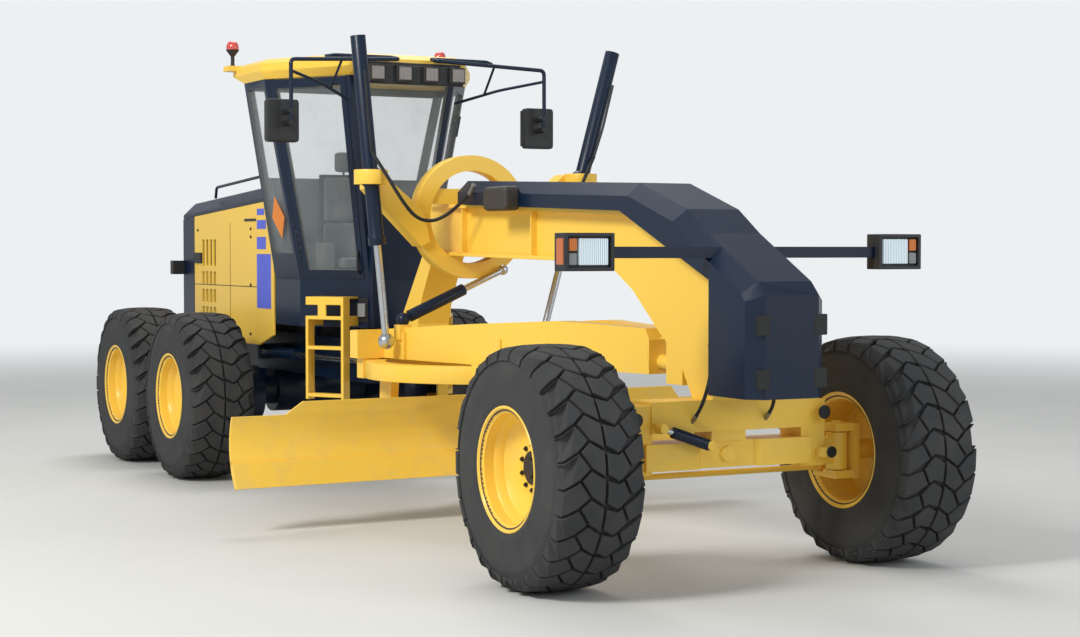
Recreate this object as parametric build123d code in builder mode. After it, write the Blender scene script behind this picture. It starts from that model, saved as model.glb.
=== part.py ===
from build123d import *
import math
import os

# Articulated motor grader, full size, millimetres. X is the machine's left, -Y is forward, Z is up.
# The origin lies on the ground under the middle of the machine.

os.makedirs("parts", exist_ok=True)

# Overall layout
LENGTH = 8860.0
NOSE_REACH = 700.0
WHEELBASE = 6495.0
TANDEM_BASE = 1480.0
FRONT_TRACK = 2120.0
REAR_TRACK = 2132.0
PIVOT_BACK = 4060.0
GAP = 0.3

FRONT_AXLE = -LENGTH / 2 + NOSE_REACH
REAR_AXLE = FRONT_AXLE + WHEELBASE
PIVOT = FRONT_AXLE + PIVOT_BACK
SIDES = (("left", 1), ("right", -1))


def behind(distance):
    """Y of a place that lies this far behind the front axle."""
    return FRONT_AXLE + distance


def slab(x, y, z, mode=Mode.ADD):
    """A box from its low and high limits along each axis."""
    with Locations(((x[0] + x[1]) / 2, (y[0] + y[1]) / 2, (z[0] + z[1]) / 2)):
        Box(x[1] - x[0], y[1] - y[0], z[1] - z[0], mode=mode)


def profile(plane, points):
    """A closed face through a few points on a plane."""
    with BuildSketch(plane) as face:
        with BuildLine():
            Polyline(*points, close=True)
        make_face()
    return face.sketch


def keep(part, node):
    """Label a finished piece and write it under its node's name."""
    part.label = node
    export_step(part, "parts/" + node + ".step")


# Tyres
TYRE_R = 645.0
TYRE_W = 500.0
LUG_DEPTH = 30.0
LUGS = 12
LUG_LENGTH = 104.0
LUG_WIDTH = 226.0
LUG_SKEW = 12.0
LUG_MIDDLE = 112.0
LUG_DEEP = 74.0
SHOULDER_X = 236.0
SHOULDER_R = 596.0
BULGE_R = 470.0
BEAD_R = 300.0

# Rims
FLANGE_R = 330.0
RIM_W = 488.0
RIM_T = 12.0
DISC_SET = 20.0
DISC_T = 18.0
HUB_R = 120.0
HUB_IN = 110.0
HUB_OUT = 60.0
SPINDLE_R = 55.0
RUN = 0.5

AXLE_Z = TYRE_R
CARCASS_R = TYRE_R - LUG_DEPTH
LUG_REACH = (
    LUG_LENGTH / 2 * math.cos(math.radians(LUG_SKEW)) + LUG_WIDTH / 2 * math.sin(math.radians(LUG_SKEW))
)
LUG_TOP = math.sqrt(TYRE_R**2 - LUG_REACH**2)

# half of the tyre's section, from bead to crown: distance from the middle, radius
TYRE_HALF = (
    (RIM_W / 2 - RIM_T - GAP, FLANGE_R + 3),
    (TYRE_W / 2, BULGE_R),
    (SHOULDER_X, SHOULDER_R),
    (SHOULDER_X - 60, CARCASS_R),
)
HALF_FLAT = math.pi / (2 * LUGS)
BORE_R = (BEAD_R + GAP) / math.cos(HALF_FLAT)
TYRE_EDGE = (TYRE_HALF[0][0], BORE_R)
TYRE_SECTION = (TYRE_EDGE,) + TYRE_HALF
TYRE_SECTION += tuple((-x, r) for x, r in reversed(TYRE_SECTION))


def flat_sided_ring(section, flats):
    """A ring about the X axis from a closed section of distances and radii, with flat sides for facets."""
    faces = []
    for step in range(flats):
        turns = [(2 * step + hand) * math.pi / flats for hand in (-1, 1)]
        for first, second in zip(section, section[1:] + section[:1]):
            corners = []
            for (x, r), order in ((first, turns), (second, turns[::-1])):
                corners += [Vector(x, r * math.sin(turn), r * math.cos(turn)) for turn in order]
            faces.append(Face(Wire.make_polygon(corners)))
    return Solid(Shell(faces))


with BuildPart() as tyre_form:
    add(flat_sided_ring(TYRE_SECTION, 2 * LUGS))
    for row, hand in enumerate((1, -1)):
        with Locations(Location((hand * LUG_MIDDLE, 0, 0), (0, 90, 0))):
            with PolarLocations(LUG_TOP - LUG_DEEP / 2, LUGS, start_angle=180 + row * 180 / LUGS):
                Box(LUG_DEEP, LUG_LENGTH, LUG_WIDTH, rotation=(hand * LUG_SKEW, 0, 0))

with BuildPart() as rim_form:
    half = RIM_W / 2
    well = BEAD_R - RIM_T
    section = profile(
        Plane.XY,
        [
            (-half, FLANGE_R),
            (-half + RIM_T, FLANGE_R),
            (-half + RIM_T, BEAD_R),
            (half - RIM_T, BEAD_R),
            (half - RIM_T, FLANGE_R),
            (half, FLANGE_R),
            (half, well),
            (DISC_SET + DISC_T + 60, well),
            (DISC_SET + DISC_T, well - 60),
            (DISC_SET + DISC_T, HUB_R),
            (DISC_SET + HUB_OUT, HUB_R - 20),
            (DISC_SET + HUB_OUT, 0),
            (DISC_SET + HUB_OUT - 20, 0),
            (DISC_SET + HUB_OUT - 20, SPINDLE_R + RUN),
            (DISC_SET - HUB_IN, SPINDLE_R + RUN),
            (DISC_SET - HUB_IN, HUB_R),
            (DISC_SET, HUB_R),
            (DISC_SET, well - 60),
            (-20, well),
            (-half, well),
        ],
    )
    revolve(section, axis=Axis.X)

WHEELS = (
    # name, side, track half, axle Y
    ("front_left", 1, FRONT_TRACK / 2, FRONT_AXLE),
    ("front_right", -1, FRONT_TRACK / 2, FRONT_AXLE),
    ("mid_left", 1, REAR_TRACK / 2, REAR_AXLE - TANDEM_BASE / 2),
    ("mid_right", -1, REAR_TRACK / 2, REAR_AXLE - TANDEM_BASE / 2),
    ("rear_left", 1, REAR_TRACK / 2, REAR_AXLE + TANDEM_BASE / 2),
    ("rear_right", -1, REAR_TRACK / 2, REAR_AXLE + TANDEM_BASE / 2),
)
for name, side, half_track, y in WHEELS:
    place = Location((side * half_track, y, AXLE_Z))
    turn = Location((0, 0, 0)) if side > 0 else Location((0, 0, 0), (0, 0, 180))
    keep(tyre_form.part.moved(place * turn), "tyre_" + name)
    keep(rim_form.part.moved(place * turn), "rim_" + name)


def bar(start, end, radius, mode=Mode.ADD):
    """A round bar between two points."""
    a = Vector(*start)
    b = Vector(*end)
    with Locations(Plane(origin=(a + b) / 2, z_dir=b - a)):
        Cylinder(radius, (b - a).length, mode=mode)


def across(points, half_width, mode=Mode.ADD):
    """A side view, given as distance behind the front axle and height, made as wide as the machine needs."""
    face = profile(Plane.YZ, [(behind(y), z) for y, z in points])
    extrude(face, amount=half_width, both=True, mode=mode)


def from_above(points, low, high, mode=Mode.ADD):
    """A plan view, given as X and distance behind the front axle, raised between two heights."""
    face = profile(Plane.XY.offset(low), [(x, behind(y)) for x, y in points])
    extrude(face, amount=high - low, mode=mode)


def to_right(part):
    """The same piece on the other side of the machine."""
    return mirror(part, about=Plane.YZ)


# Steered front axle
KINGPIN_X = 800.0
KINGPIN_R = 30.0
BOSS_R = 60.0
BOSS_Z = (540.0, 750.0)
STUD_BACK = 165.0
ARM_Z = (490.0, 515.0)
TIE_Z = (ARM_Z[1] + GAP, 558.0)
SPINDLE_END = FRONT_TRACK / 2 + DISC_SET + HUB_OUT - 25
BEAM_Z = (600.0, 745.0)
LEAN_PIN_X = 605.0
LEAN_PIN_Z = (655.0, 880.0)
LEDGE_X = 200.0

with BuildPart() as knuckle:
    slab((KINGPIN_X - 50, 905), (FRONT_AXLE - 60, FRONT_AXLE + 60), (BOSS_Z[1] + 5, BOSS_Z[1] + 50))
    slab((KINGPIN_X - 50, 905), (FRONT_AXLE - 60, FRONT_AXLE + 60), (ARM_Z[0], BOSS_Z[0] - 5))
    slab((870, 905), (FRONT_AXLE - 75, FRONT_AXLE + 75), (ARM_Z[0], BOSS_Z[1] + 50))
    bar((KINGPIN_X, FRONT_AXLE, ARM_Z[0]), (KINGPIN_X, FRONT_AXLE, BOSS_Z[1] + 62), KINGPIN_R)
    bar((900, FRONT_AXLE, AXLE_Z), (SPINDLE_END, FRONT_AXLE, AXLE_Z), SPINDLE_R)
    slab((KINGPIN_X - 30, KINGPIN_X + 30), (FRONT_AXLE + 50, FRONT_AXLE + STUD_BACK), ARM_Z)
    bar((KINGPIN_X, FRONT_AXLE + STUD_BACK, ARM_Z[0]), (KINGPIN_X, FRONT_AXLE + STUD_BACK, ARM_Z[1]), 34)
keep(knuckle.part, "knuckle_left")
keep(to_right(knuckle.part), "knuckle_right")

with BuildPart() as tie_rod:
    for side in (1, -1):
        place = (side * KINGPIN_X, FRONT_AXLE + STUD_BACK)
        bar((*place, TIE_Z[0]), (*place, TIE_Z[1]), 30)
    level = sum(TIE_Z) / 2
    bar(
        (-KINGPIN_X + 10, FRONT_AXLE + STUD_BACK, level),
        (KINGPIN_X - 10, FRONT_AXLE + STUD_BACK, level),
        17,
    )
keep(tie_rod.part, "tie_rod")

with BuildPart() as axle:
    from_above(
        [
            (-530, -130),
            (-LEDGE_X, -130),
            (30 - LEDGE_X, -95),
            (LEDGE_X - 30, -95),
            (LEDGE_X, -130),
            (530, -130),
            (530, 90),
            (-530, 90),
        ],
        *BEAM_Z,
    )
    bar((0, FRONT_AXLE - 112, sum(BEAM_Z) / 2), (0, FRONT_AXLE + 100, sum(BEAM_Z) / 2), 42)
    slab((-490, 490), (FRONT_AXLE - 120, FRONT_AXLE + 80), (800, 970))
    slab((-110, 110), (FRONT_AXLE - 110, FRONT_AXLE + 70), (745, 800))
    for side in (1, -1):
        inner = min(side * 480, side * 640)
        slab((inner, inner + 160), (FRONT_AXLE - 105, FRONT_AXLE + 95), (580, 950))
        for z in LEAN_PIN_Z:
            bar((side * LEAN_PIN_X, FRONT_AXLE - 150, z), (side * LEAN_PIN_X, FRONT_AXLE + 130, z), 30)
        neck = min(side * 640, side * 760)
        slab((neck, neck + 120), (FRONT_AXLE - 38, FRONT_AXLE + 38), (575, 725))
        bar((side * KINGPIN_X, FRONT_AXLE, BOSS_Z[0]), (side * KINGPIN_X, FRONT_AXLE, BOSS_Z[1]), BOSS_R)
        bar(
            (side * KINGPIN_X, FRONT_AXLE, BOSS_Z[0]),
            (side * KINGPIN_X, FRONT_AXLE, BOSS_Z[1]),
            KINGPIN_R + RUN,
            Mode.SUBTRACT,
        )
keep(axle.part, "front_axle")

# Hitch between the two frames
HITCH_R = 130.0
TONGUE_Z = (975.0, 1115.0)
EAR_LOW = (900.0, 970.0)
EAR_HIGH = (1120.0, 1190.0)
HITCH_PIN_R = 45.0
EYE_X = 285.0
EYE_Y = PIVOT - 100
EYE_Z = 960.0
BASE_X = 440.0
BASE_Y = PIVOT + 1890

# Drawbar's ball in the front frame
BALL_Y = behind(330)
BALL_Z = 1130.0
BALL_R = 65.0

# Ring that carries the lift cylinders
RING_Y = (3060.0, 3180.0)
RING_Z = 2000.0
RING_OUT = 420.0
RING_IN = 315.0
YOKE_X = 790.0
YOKE_Y = 2965.0
YOKE_Z = 2255.0
COLLAR_R = 78.0
ARM_FRONT = 3030.0
CENTRE_BASE = (-570.0, 2950.0, 1314.0)
CENTRE_EYE = (200.0, 3000.0, 1640.0)

# the beam's top line: distance behind the front axle, height
BEAM_TOP = ((660, 2000), (3470, 2100))


def beam_top(y):
    """Height of the beam's top at a distance behind the front axle."""
    (y0, z0), (y1, z1) = BEAM_TOP
    return z0 + (y - y0) * (z1 - z0) / (y1 - y0)


with BuildPart() as front_frame:
    across(
        [
            (-280, 1620),
            (-280, 1210),
            (-130, 970),
            (70, 970),
            (200, 1160),
            (435, 1328),
            (713, 1547),
            (1004, 1700),
            (1890, 1715),
            (3440, 1740),
            (3640, 1430),
            (3700, 1250),
            (3700, TONGUE_Z[0]),
            (3860, TONGUE_Z[0]),
            (3860, 1197),
            (4025, 1197),
            (4025, 1240),
            (3620, 1740),
            BEAM_TOP[1],
            BEAM_TOP[0],
        ],
        120,
    )
    flange = [(y, beam_top(y)) for y in (700, 3440)]
    across(flange + [(y, z - 24) for y, z in reversed(flange)], 170)
    across([(1000, 1704), (3440, 1744), (3440, 1766), (1000, 1730)], 170)
    for y in (1900, 2900):
        across([(y - 8, 1740), (y + 8, 1740), (y + 8, beam_top(y) - 20), (y - 8, beam_top(y) - 20)], 160)
    from_above([(-110, 3690), (110, 3690), (110, 4060), (-110, 4060)], *TONGUE_Z)
    bar((0, PIVOT, TONGUE_Z[0]), (0, PIVOT, TONGUE_Z[1]), HITCH_R)
    from_above(
        [(-325, 3925), (325, 3925), (325, 3990), (-325, 3990)], 992, 1030
    )
    bar((0, PIVOT, 900), (0, PIVOT, 1200), HITCH_PIN_R + RUN, Mode.SUBTRACT)
    across([(185, 1290), (185, 1030), (360, 1030), (420, 1290)], 112)
    with Locations((0, BALL_Y, BALL_Z)):
        Sphere(BALL_R + RUN, mode=Mode.SUBTRACT)
    with Locations((0, BALL_Y + 100, BALL_Z)):
        Box(400, 150, 300, mode=Mode.SUBTRACT)
keep(front_frame.part, "front_frame")

COVER_HALF = 242.0
COVER_CHAMFER = 76.0
COVER_NOSE = ((-700, 1010), (-700, 1545))
COVER_TOP = ((-632, 1615), (-160, 1866), (50, 2000), (550, 2157), (2790, 2235))
LAMP_Y = (-330.0, -215.0)
with BuildPart() as cover:
    across(
        [(-280, 1010)]
        + list(COVER_NOSE + COVER_TOP)
        + [(2790, beam_top(2790)), BEAM_TOP[0], (-280, 1620)],
        COVER_HALF,
    )
    ends = [(behind(y), z) for y, z in COVER_NOSE + COVER_TOP]
    top_edges = [
        edge
        for edge in cover.edges()
        if abs(abs(edge.center().X) - COVER_HALF) < 1
        and all(any(math.dist((v.Y, v.Z), end) < 1 for end in ends) for v in edge.vertices())
    ]
    chamfer(top_edges, COVER_CHAMFER)
    slab((-840, 840), (behind(-290), behind(-245)), (1735, 1795))
keep(cover.part, "front_cover")

with BuildPart() as headlamps:
    for side in (1, -1):
        inner = min(side * 840, side * 1130)
        slab((inner, inner + 290), (behind(LAMP_Y[0]), behind(LAMP_Y[1])), (1670, 1865))
        slab(
            (inner + 20, inner + 270),
            (behind(LAMP_Y[0]) - 1, behind(LAMP_Y[0]) + 25),
            (1690, 1845),
            Mode.SUBTRACT,
        )
keep(headlamps.part, "headlamps")

with BuildPart() as saddle:
    bar((0, behind(RING_Y[0]), RING_Z), (0, behind(RING_Y[1]), RING_Z), RING_OUT)
    bar((0, behind(RING_Y[0]), RING_Z), (0, behind(RING_Y[1]), RING_Z), RING_IN, Mode.SUBTRACT)
    for side in (1, -1):
        arm = [(330, 1830), (395, 1800), (780, 2180), (780, 2300), (700, 2300), (380, 2040)]
        face = profile(Plane.XZ.offset(-behind(RING_Y[1])), [(side * x, z) for x, z in arm])
        extrude(face, amount=RING_Y[1] - ARM_FRONT)
        bar((side * YOKE_X, behind(YOKE_Y), YOKE_Z - 48), (side * YOKE_X, behind(YOKE_Y), YOKE_Z + 48), 112)
        bar(
            (side * YOKE_X, behind(YOKE_Y), YOKE_Z - 120),
            (side * YOKE_X, behind(YOKE_Y), YOKE_Z + 120),
            72,
            Mode.SUBTRACT,
        )
        with Locations((side * YOKE_X, behind(YOKE_Y), YOKE_Z)):
            Sphere(COLLAR_R + RUN, mode=Mode.SUBTRACT)
    across([(3075, beam_top(3075)), (3165, beam_top(3165)), (3165, 2190), (3075, 2190)], RING_IN - 20)
    eye_pin = Vector(CENTRE_EYE[0], behind(RING_Y[0]), CENTRE_EYE[2])
    bar(eye_pin - Vector(0, 12, 0), eye_pin + Vector(0, 10, 0), 20)
keep(saddle.part, "lift_saddle")

# Lift cylinders: the top of the barrel, its pivot in the yoke, the ball of its rod
LIFT = (
    # name, top, pivot, rod ball
    ("left", (1080, 2960, 3175), (YOKE_X, YOKE_Y, YOKE_Z), (495, 2980, 1173)),
    ("right", (-880, 2960, 3180), (-YOKE_X, YOKE_Y, YOKE_Z), (-695, 2940, 1173)),
)
LIFT_BARREL_R = 50.0
LIFT_ROD_R = 25.0
LIFT_BELOW = 450.0
LIFT_ABOVE = 930.0
LIFT_ROD = 1775.0
ROD_BALL_R = 55.0
BORE = 0.5
for name, top, pivot, ball in LIFT:
    pivot_at = Vector(pivot[0], behind(pivot[1]), pivot[2])
    ball_at = Vector(ball[0], behind(ball[1]), ball[2])
    up = (pivot_at - ball_at).normalized()
    with BuildPart() as barrel:
        bar(pivot_at - up * LIFT_BELOW, pivot_at + up * LIFT_ABOVE, LIFT_BARREL_R)
        bar(pivot_at - up * LIFT_BELOW, pivot_at - up * (LIFT_BELOW - 60), LIFT_BARREL_R + 8)
        with Locations(pivot_at):
            Sphere(COLLAR_R)
        bar(pivot_at - up * (LIFT_BELOW + 1), pivot_at + up * (LIFT_ABOVE - 20), LIFT_ROD_R + BORE, Mode.SUBTRACT)
    keep(barrel.part, "lift_barrel_" + name)
    with BuildPart() as rod:
        bar(ball_at, ball_at + up * LIFT_ROD, LIFT_ROD_R)
        with Locations(ball_at):
            Sphere(ROD_BALL_R)
    keep(rod.part, "lift_rod_" + name)

# Drawbar, swung a little to the right about its ball, and what hangs from it
SWING = 2.18
DRAWBAR_AT = Location((0, BALL_Y, 0), (0, 0, SWING))
CIRCLE_BACK = 2420.0
CIRCLE_OUT = 765.0
CIRCLE_IN = 640.0
CIRCLE_Z = (930.0, 1040.0)
CROSS_Y = (2570.0, 2715.0)
CROSS_END = 498.0


CUP_BALL_R = 46.0
turn = math.radians(SWING)
CUP_X = CENTRE_BASE[0] * math.cos(turn) + (behind(CENTRE_BASE[1]) - BALL_Y) * math.sin(turn)
CUP_Y = (behind(CENTRE_BASE[1]) - BALL_Y) * math.cos(turn) - CENTRE_BASE[0] * math.sin(turn)


def hung(part):
    """Put a piece drawn about the drawbar's ball, or about the ring's middle, in its place."""
    return part.moved(DRAWBAR_AT)


with BuildPart() as drawbar:
    for side in (1, -1):
        beam = [
            (-40, 230), (95, 230), (440, 2300), (496, 2730), (500, 2860),
            (700, 2860), (700, 2980), (400, 2980), (330, 2300),
        ]
        face = profile(Plane.XY.offset(1050), [(side * x, y) for x, y in beam])
        extrude(face, amount=310)
    slab((-CROSS_END, CROSS_END), CROSS_Y, (1050, 1230))
    slab((-620, 620), (2860, 2980), (1050, 1237))
    slab((-330, 330), (1560, 1640), (1060, 1220))
    outline = [(200, 1070), (200, 1200), (260, 1330), (1050, 1350), (1870, 1307), (2985, 1235), (2985, 1045), (1500, 1045), (1300, 1070)]
    side_face = profile(Plane.YZ, outline)
    extrude(side_face, amount=800, both=True, mode=Mode.INTERSECT)
    bar((0, 60, BALL_Z), (0, 240, BALL_Z + 10), 42)
    with Locations((0, 0, BALL_Z)):
        Sphere(BALL_R)
    bar((0, 0, BALL_Z), (0, 80, BALL_Z), 38)
    for angle in (40, 140, 243, 297):
        x = (CIRCLE_OUT + 10) * math.cos(math.radians(angle))
        y = CIRCLE_BACK + (CIRCLE_OUT + 10) * math.sin(math.radians(angle))
        slab((x - 60, x + 60), (y - 50, y + 50), (915, 1060))
    with Locations((0, CIRCLE_BACK, 985)):
        Cylinder(CIRCLE_OUT + 0.5, 111, mode=Mode.SUBTRACT)
    slab((CUP_X - 44, CUP_X + 44), (CUP_Y - 44, CUP_Y + 44), (1180, CENTRE_BASE[2] - 34))
    with Locations((CUP_X, CUP_Y, CENTRE_BASE[2])):
        Sphere(CUP_BALL_R + 0.1, mode=Mode.SUBTRACT)
keep(hung(drawbar.part), "drawbar")

ARM_X = (545.0, 600.0)
TIP_Y = 225.0
TIP_Z = 430.0
with BuildPart() as circle:
    with Locations((0, CIRCLE_BACK, sum(CIRCLE_Z) / 2)):
        Cylinder(CIRCLE_OUT, CIRCLE_Z[1] - CIRCLE_Z[0])
        Cylinder(CIRCLE_IN, CIRCLE_Z[1] - CIRCLE_Z[0], mode=Mode.SUBTRACT)
    for side in (1, -1):
        arm = [(300, 935), (122, 935), (162, 600), (184, 400), (205, 385), (265, 385), (290, 420), (320, 600)]
        low_x = min(side * ARM_X[0], side * ARM_X[1])
        face = profile(Plane.YZ.offset(low_x), [(CIRCLE_BACK + y, z) for y, z in arm])
        extrude(face, amount=ARM_X[1] - ARM_X[0])
        bar(
            (side * (ARM_X[0] - 90), CIRCLE_BACK + TIP_Y, TIP_Z),
            (side * (ARM_X[1] + 25), CIRCLE_BACK + TIP_Y, TIP_Z),
            30,
        )
keep(hung(circle.part), "circle")

BLADE_R = 432.0
BLADE_T = 19.0
BLADE_LENGTH = 3710.0
BLADE_SET = CIRCLE_BACK * math.tan(math.radians(SWING))
BLADE_TIP_Y = -60.0
BLADE_Z = (290.0, 820.0)
CORNER_DROP = 85.0
EDGE_T = 16.0
EDGE_HEIGHT = 152.0
EDGE_SEAT = 8.0
RAILS = ((385.0, 425.0), (690.0, 730.0))
RAIL_HALF = BLADE_LENGTH / 2 - 395
RAIL_BACK = 105.0
SHIFT_Y = 100.0
SHIFT_Z = 560.0
SHIFT_ROD_R = 22.0
SHIFT_BARREL_R = 38.0
SHIFT_BARREL = (-1040.0, 750.0)
LUG_INSET = 157.0
SHIFT_LUG = BLADE_SET + BLADE_LENGTH / 2 - LUG_INSET
SHIFT_ROD = 1850.0

with BuildPart() as tilt_bracket:
    for side in (1, -1):
        plate = [(80, 370), (290, 370), (290, 480), (200, 760), (80, 760)]
        low_x = min(side * 465, side * 535)
        face = profile(Plane.YZ.offset(low_x), [(CIRCLE_BACK + y, z) for y, z in plate])
        extrude(face, amount=70)
        for low, high in RAILS:
            slab(
                (low_x - 1, low_x + 71),
                (CIRCLE_BACK + 79, CIRCLE_BACK + RAIL_BACK + 0.5),
                (low - 0.5, high + 0.5),
                Mode.SUBTRACT,
            )
    bar((-470, CIRCLE_BACK + 190, 560), (470, CIRCLE_BACK + 190, 560), 40)
    for side in (1, -1):
        bar(
            (side * 464, CIRCLE_BACK + TIP_Y, TIP_Z),
            (side * 536, CIRCLE_BACK + TIP_Y, TIP_Z),
            30 + RUN,
            Mode.SUBTRACT,
        )
        bar(
            (side * 440, CIRCLE_BACK + SHIFT_Y, SHIFT_Z),
            (side * 560, CIRCLE_BACK + SHIFT_Y, SHIFT_Z),
            SHIFT_BARREL_R + GAP,
            Mode.SUBTRACT,
        )
keep(hung(tilt_bracket.part), "tilt_bracket")

with BuildPart() as moldboard:
    middle_z = sum(BLADE_Z) / 2
    half_chord = (BLADE_Z[1] - BLADE_Z[0]) / 2
    sagitta = BLADE_R - math.sqrt(BLADE_R**2 - half_chord**2)
    with BuildSketch(Plane.YZ.offset(BLADE_SET - BLADE_LENGTH / 2)):
        with BuildLine():
            y = CIRCLE_BACK + BLADE_TIP_Y
            ThreePointArc((y, BLADE_Z[0]), (y + sagitta, middle_z), (y, BLADE_Z[1]))
            Line((y, BLADE_Z[1]), (y + BLADE_T, BLADE_Z[1]))
            ThreePointArc(
                (y + BLADE_T, BLADE_Z[1]), (y + sagitta + BLADE_T, middle_z), (y + BLADE_T, BLADE_Z[0])
            )
            Line((y + BLADE_T, BLADE_Z[0]), (y, BLADE_Z[0]))
        make_face()
    extrude(amount=BLADE_LENGTH)
    edge_top = BLADE_Z[0] + EDGE_HEIGHT
    lean_in = sagitta - (BLADE_R - math.sqrt(BLADE_R**2 - (middle_z - edge_top) ** 2))
    cutting = [
        (y - EDGE_T, BLADE_Z[0]),
        (y + EDGE_SEAT, BLADE_Z[0]),
        (y + lean_in + EDGE_SEAT, edge_top),
        (y + lean_in - EDGE_T, edge_top),
    ]
    extrude(profile(Plane.YZ.offset(BLADE_SET - BLADE_LENGTH / 2), cutting), amount=BLADE_LENGTH)
    for low, high in RAILS:
        slab(
            (BLADE_SET - RAIL_HALF, BLADE_SET + RAIL_HALF),
            (CIRCLE_BACK + 20, CIRCLE_BACK + RAIL_BACK),
            (low, high),
        )
    slab(
        (SHIFT_LUG - 20, SHIFT_LUG + 20),
        (CIRCLE_BACK + 20, CIRCLE_BACK + SHIFT_Y + 40),
        (SHIFT_Z - 60, SHIFT_Z + 60),
    )
    bar(
        (SHIFT_LUG - 21, CIRCLE_BACK + SHIFT_Y, SHIFT_Z),
        (SHIFT_LUG + 21, CIRCLE_BACK + SHIFT_Y, SHIFT_Z),
        SHIFT_ROD_R + GAP,
        Mode.SUBTRACT,
    )
    arc_back = Plane.XZ.offset(-(CIRCLE_BACK + 60))
    for side in (1, -1):
        end = BLADE_SET + side * BLADE_LENGTH / 2
        low, high = BLADE_Z[1] - CORNER_DROP, BLADE_Z[1] + 1
        corner = [(end + side, low), (end - side * 360, low), (end - side * 460, high), (end + side, high)]
        extrude(profile(arc_back, corner), amount=150, mode=Mode.SUBTRACT)
keep(hung(moldboard.part), "moldboard")

with BuildPart() as shift_barrel:
    bar(
        (SHIFT_BARREL[0], CIRCLE_BACK + SHIFT_Y, SHIFT_Z),
        (SHIFT_BARREL[1], CIRCLE_BACK + SHIFT_Y, SHIFT_Z),
        SHIFT_BARREL_R,
    )
    bar(
        (SHIFT_BARREL[0] + 20, CIRCLE_BACK + SHIFT_Y, SHIFT_Z),
        (SHIFT_BARREL[1] + 1, CIRCLE_BACK + SHIFT_Y, SHIFT_Z),
        SHIFT_ROD_R + BORE,
        Mode.SUBTRACT,
    )
keep(hung(shift_barrel.part), "side_shift_barrel")

with BuildPart() as shift_rod:
    bar(
        (SHIFT_LUG - SHIFT_ROD, CIRCLE_BACK + SHIFT_Y, SHIFT_Z),
        (SHIFT_LUG + 35, CIRCLE_BACK + SHIFT_Y, SHIFT_Z),
        SHIFT_ROD_R,
    )
keep(hung(shift_rod.part), "side_shift_rod")

# Centre shift cylinder, from the drawbar's right side up to the middle of the saddle
CENTRE_BARREL = 500.0
CENTRE_BASE_T = 30.0
CENTRE_SPARE = 87.0
CENTRE_BARREL_R = 40.0
CENTRE_NECK = 54.0
CENTRE_NECK_R = 26.0
CENTRE_ROD_R = 22.0
CENTRE_EYE_R = 36.0
base_at = Vector(CENTRE_BASE[0], behind(CENTRE_BASE[1]), CENTRE_BASE[2])
eye_at = Vector(CENTRE_EYE[0], behind(CENTRE_EYE[1]), CENTRE_EYE[2])
reach = (eye_at - base_at).normalized()
across_reach = reach.cross(Vector(0, 0, 1)).normalized()
turning_plane = Plane(origin=base_at, x_dir=reach, z_dir=reach.cross(across_reach))
neck_out = math.sqrt(CUP_BALL_R**2 - CENTRE_NECK_R**2)
with BuildPart() as centre_barrel:
    with BuildSketch(turning_plane):
        with BuildLine():
            ThreePointArc((-CUP_BALL_R, 0), (0, CUP_BALL_R), (neck_out, CENTRE_NECK_R))
            Polyline(
                (neck_out, CENTRE_NECK_R),
                (CENTRE_NECK, CENTRE_NECK_R),
                (CENTRE_NECK, CENTRE_BARREL_R),
                (CENTRE_BARREL, CENTRE_BARREL_R),
                (CENTRE_BARREL, CENTRE_ROD_R + BORE),
                (CENTRE_NECK + CENTRE_BASE_T, CENTRE_ROD_R + BORE),
                (CENTRE_NECK + CENTRE_BASE_T, 0),
                (-CUP_BALL_R, 0),
            )
        make_face()
    revolve(axis=Axis(base_at, reach))
keep(centre_barrel.part, "centre_shift_barrel")
with BuildPart() as centre_rod:
    bar(base_at + reach * (CENTRE_NECK + CENTRE_SPARE), eye_at, CENTRE_ROD_R)
    with Locations(eye_at):
        Sphere(CENTRE_EYE_R)
keep(centre_rod.part, "centre_shift_rod")

# Rear frame and what it carries
RAIL_Z = (800.0, 1115.0)
RAIL_X = (200.0, 280.0)
REAR_END = LENGTH - NOSE_REACH
BUMPER = REAR_END - 160
REAR_CROSS = REAR_END - 460
HOUSING_R = 150.0
CASE_X = (590.0, 790.0)
CASE_R = 215.0

with BuildPart() as rear_frame:
    for x in (-RAIL_X[1], RAIL_X[0]):
        slab((x, x + RAIL_X[1] - RAIL_X[0]), (behind(4380), behind(BUMPER + 10)), RAIL_Z)
    slab((-RAIL_X[1], RAIL_X[1]), (behind(4240), behind(4420)), (RAIL_Z[0], EAR_HIGH[1]))
    slab((-RAIL_X[0] - 10, RAIL_X[0] + 10), (behind(5250), behind(5350)), (RAIL_Z[0] + 20, RAIL_Z[1] - 40))
    slab((-RAIL_X[0] - 10, RAIL_X[0] + 10), (behind(REAR_CROSS), behind(REAR_CROSS + 100)), (RAIL_Z[0] + 20, RAIL_Z[1] - 40))
    slab((-640, 640), (behind(BUMPER), behind(REAR_END)), (RAIL_Z[0] - 10, RAIL_Z[1] - 5))
    for low, high in (EAR_LOW, EAR_HIGH):
        bar((0, PIVOT, low), (0, PIVOT, high), HITCH_R - 5)
        slab((5 - HITCH_R, HITCH_R - 5), (PIVOT, behind(4250)), (low, high))
    bar((0, PIVOT, EAR_LOW[0] - 20), (0, PIVOT, EAR_HIGH[1] + 4), HITCH_PIN_R)
    for y in (4560, 5350):
        for side in (1, -1):
            x = side * sum(RAIL_X) / 2
            bar((x, behind(y), RAIL_Z[1] - 10), (x, behind(y), 1200), 40)
    for side in (1, -1):
        inner = min(side * (RAIL_X[1] - 20), side * (BASE_X + 40))
        slab((inner, inner + BASE_X + 60 - RAIL_X[1]), (BASE_Y + 30, BASE_Y + 90), (EYE_Z - 60, EYE_Z + 60))
keep(rear_frame.part, "rear_frame")

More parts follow.
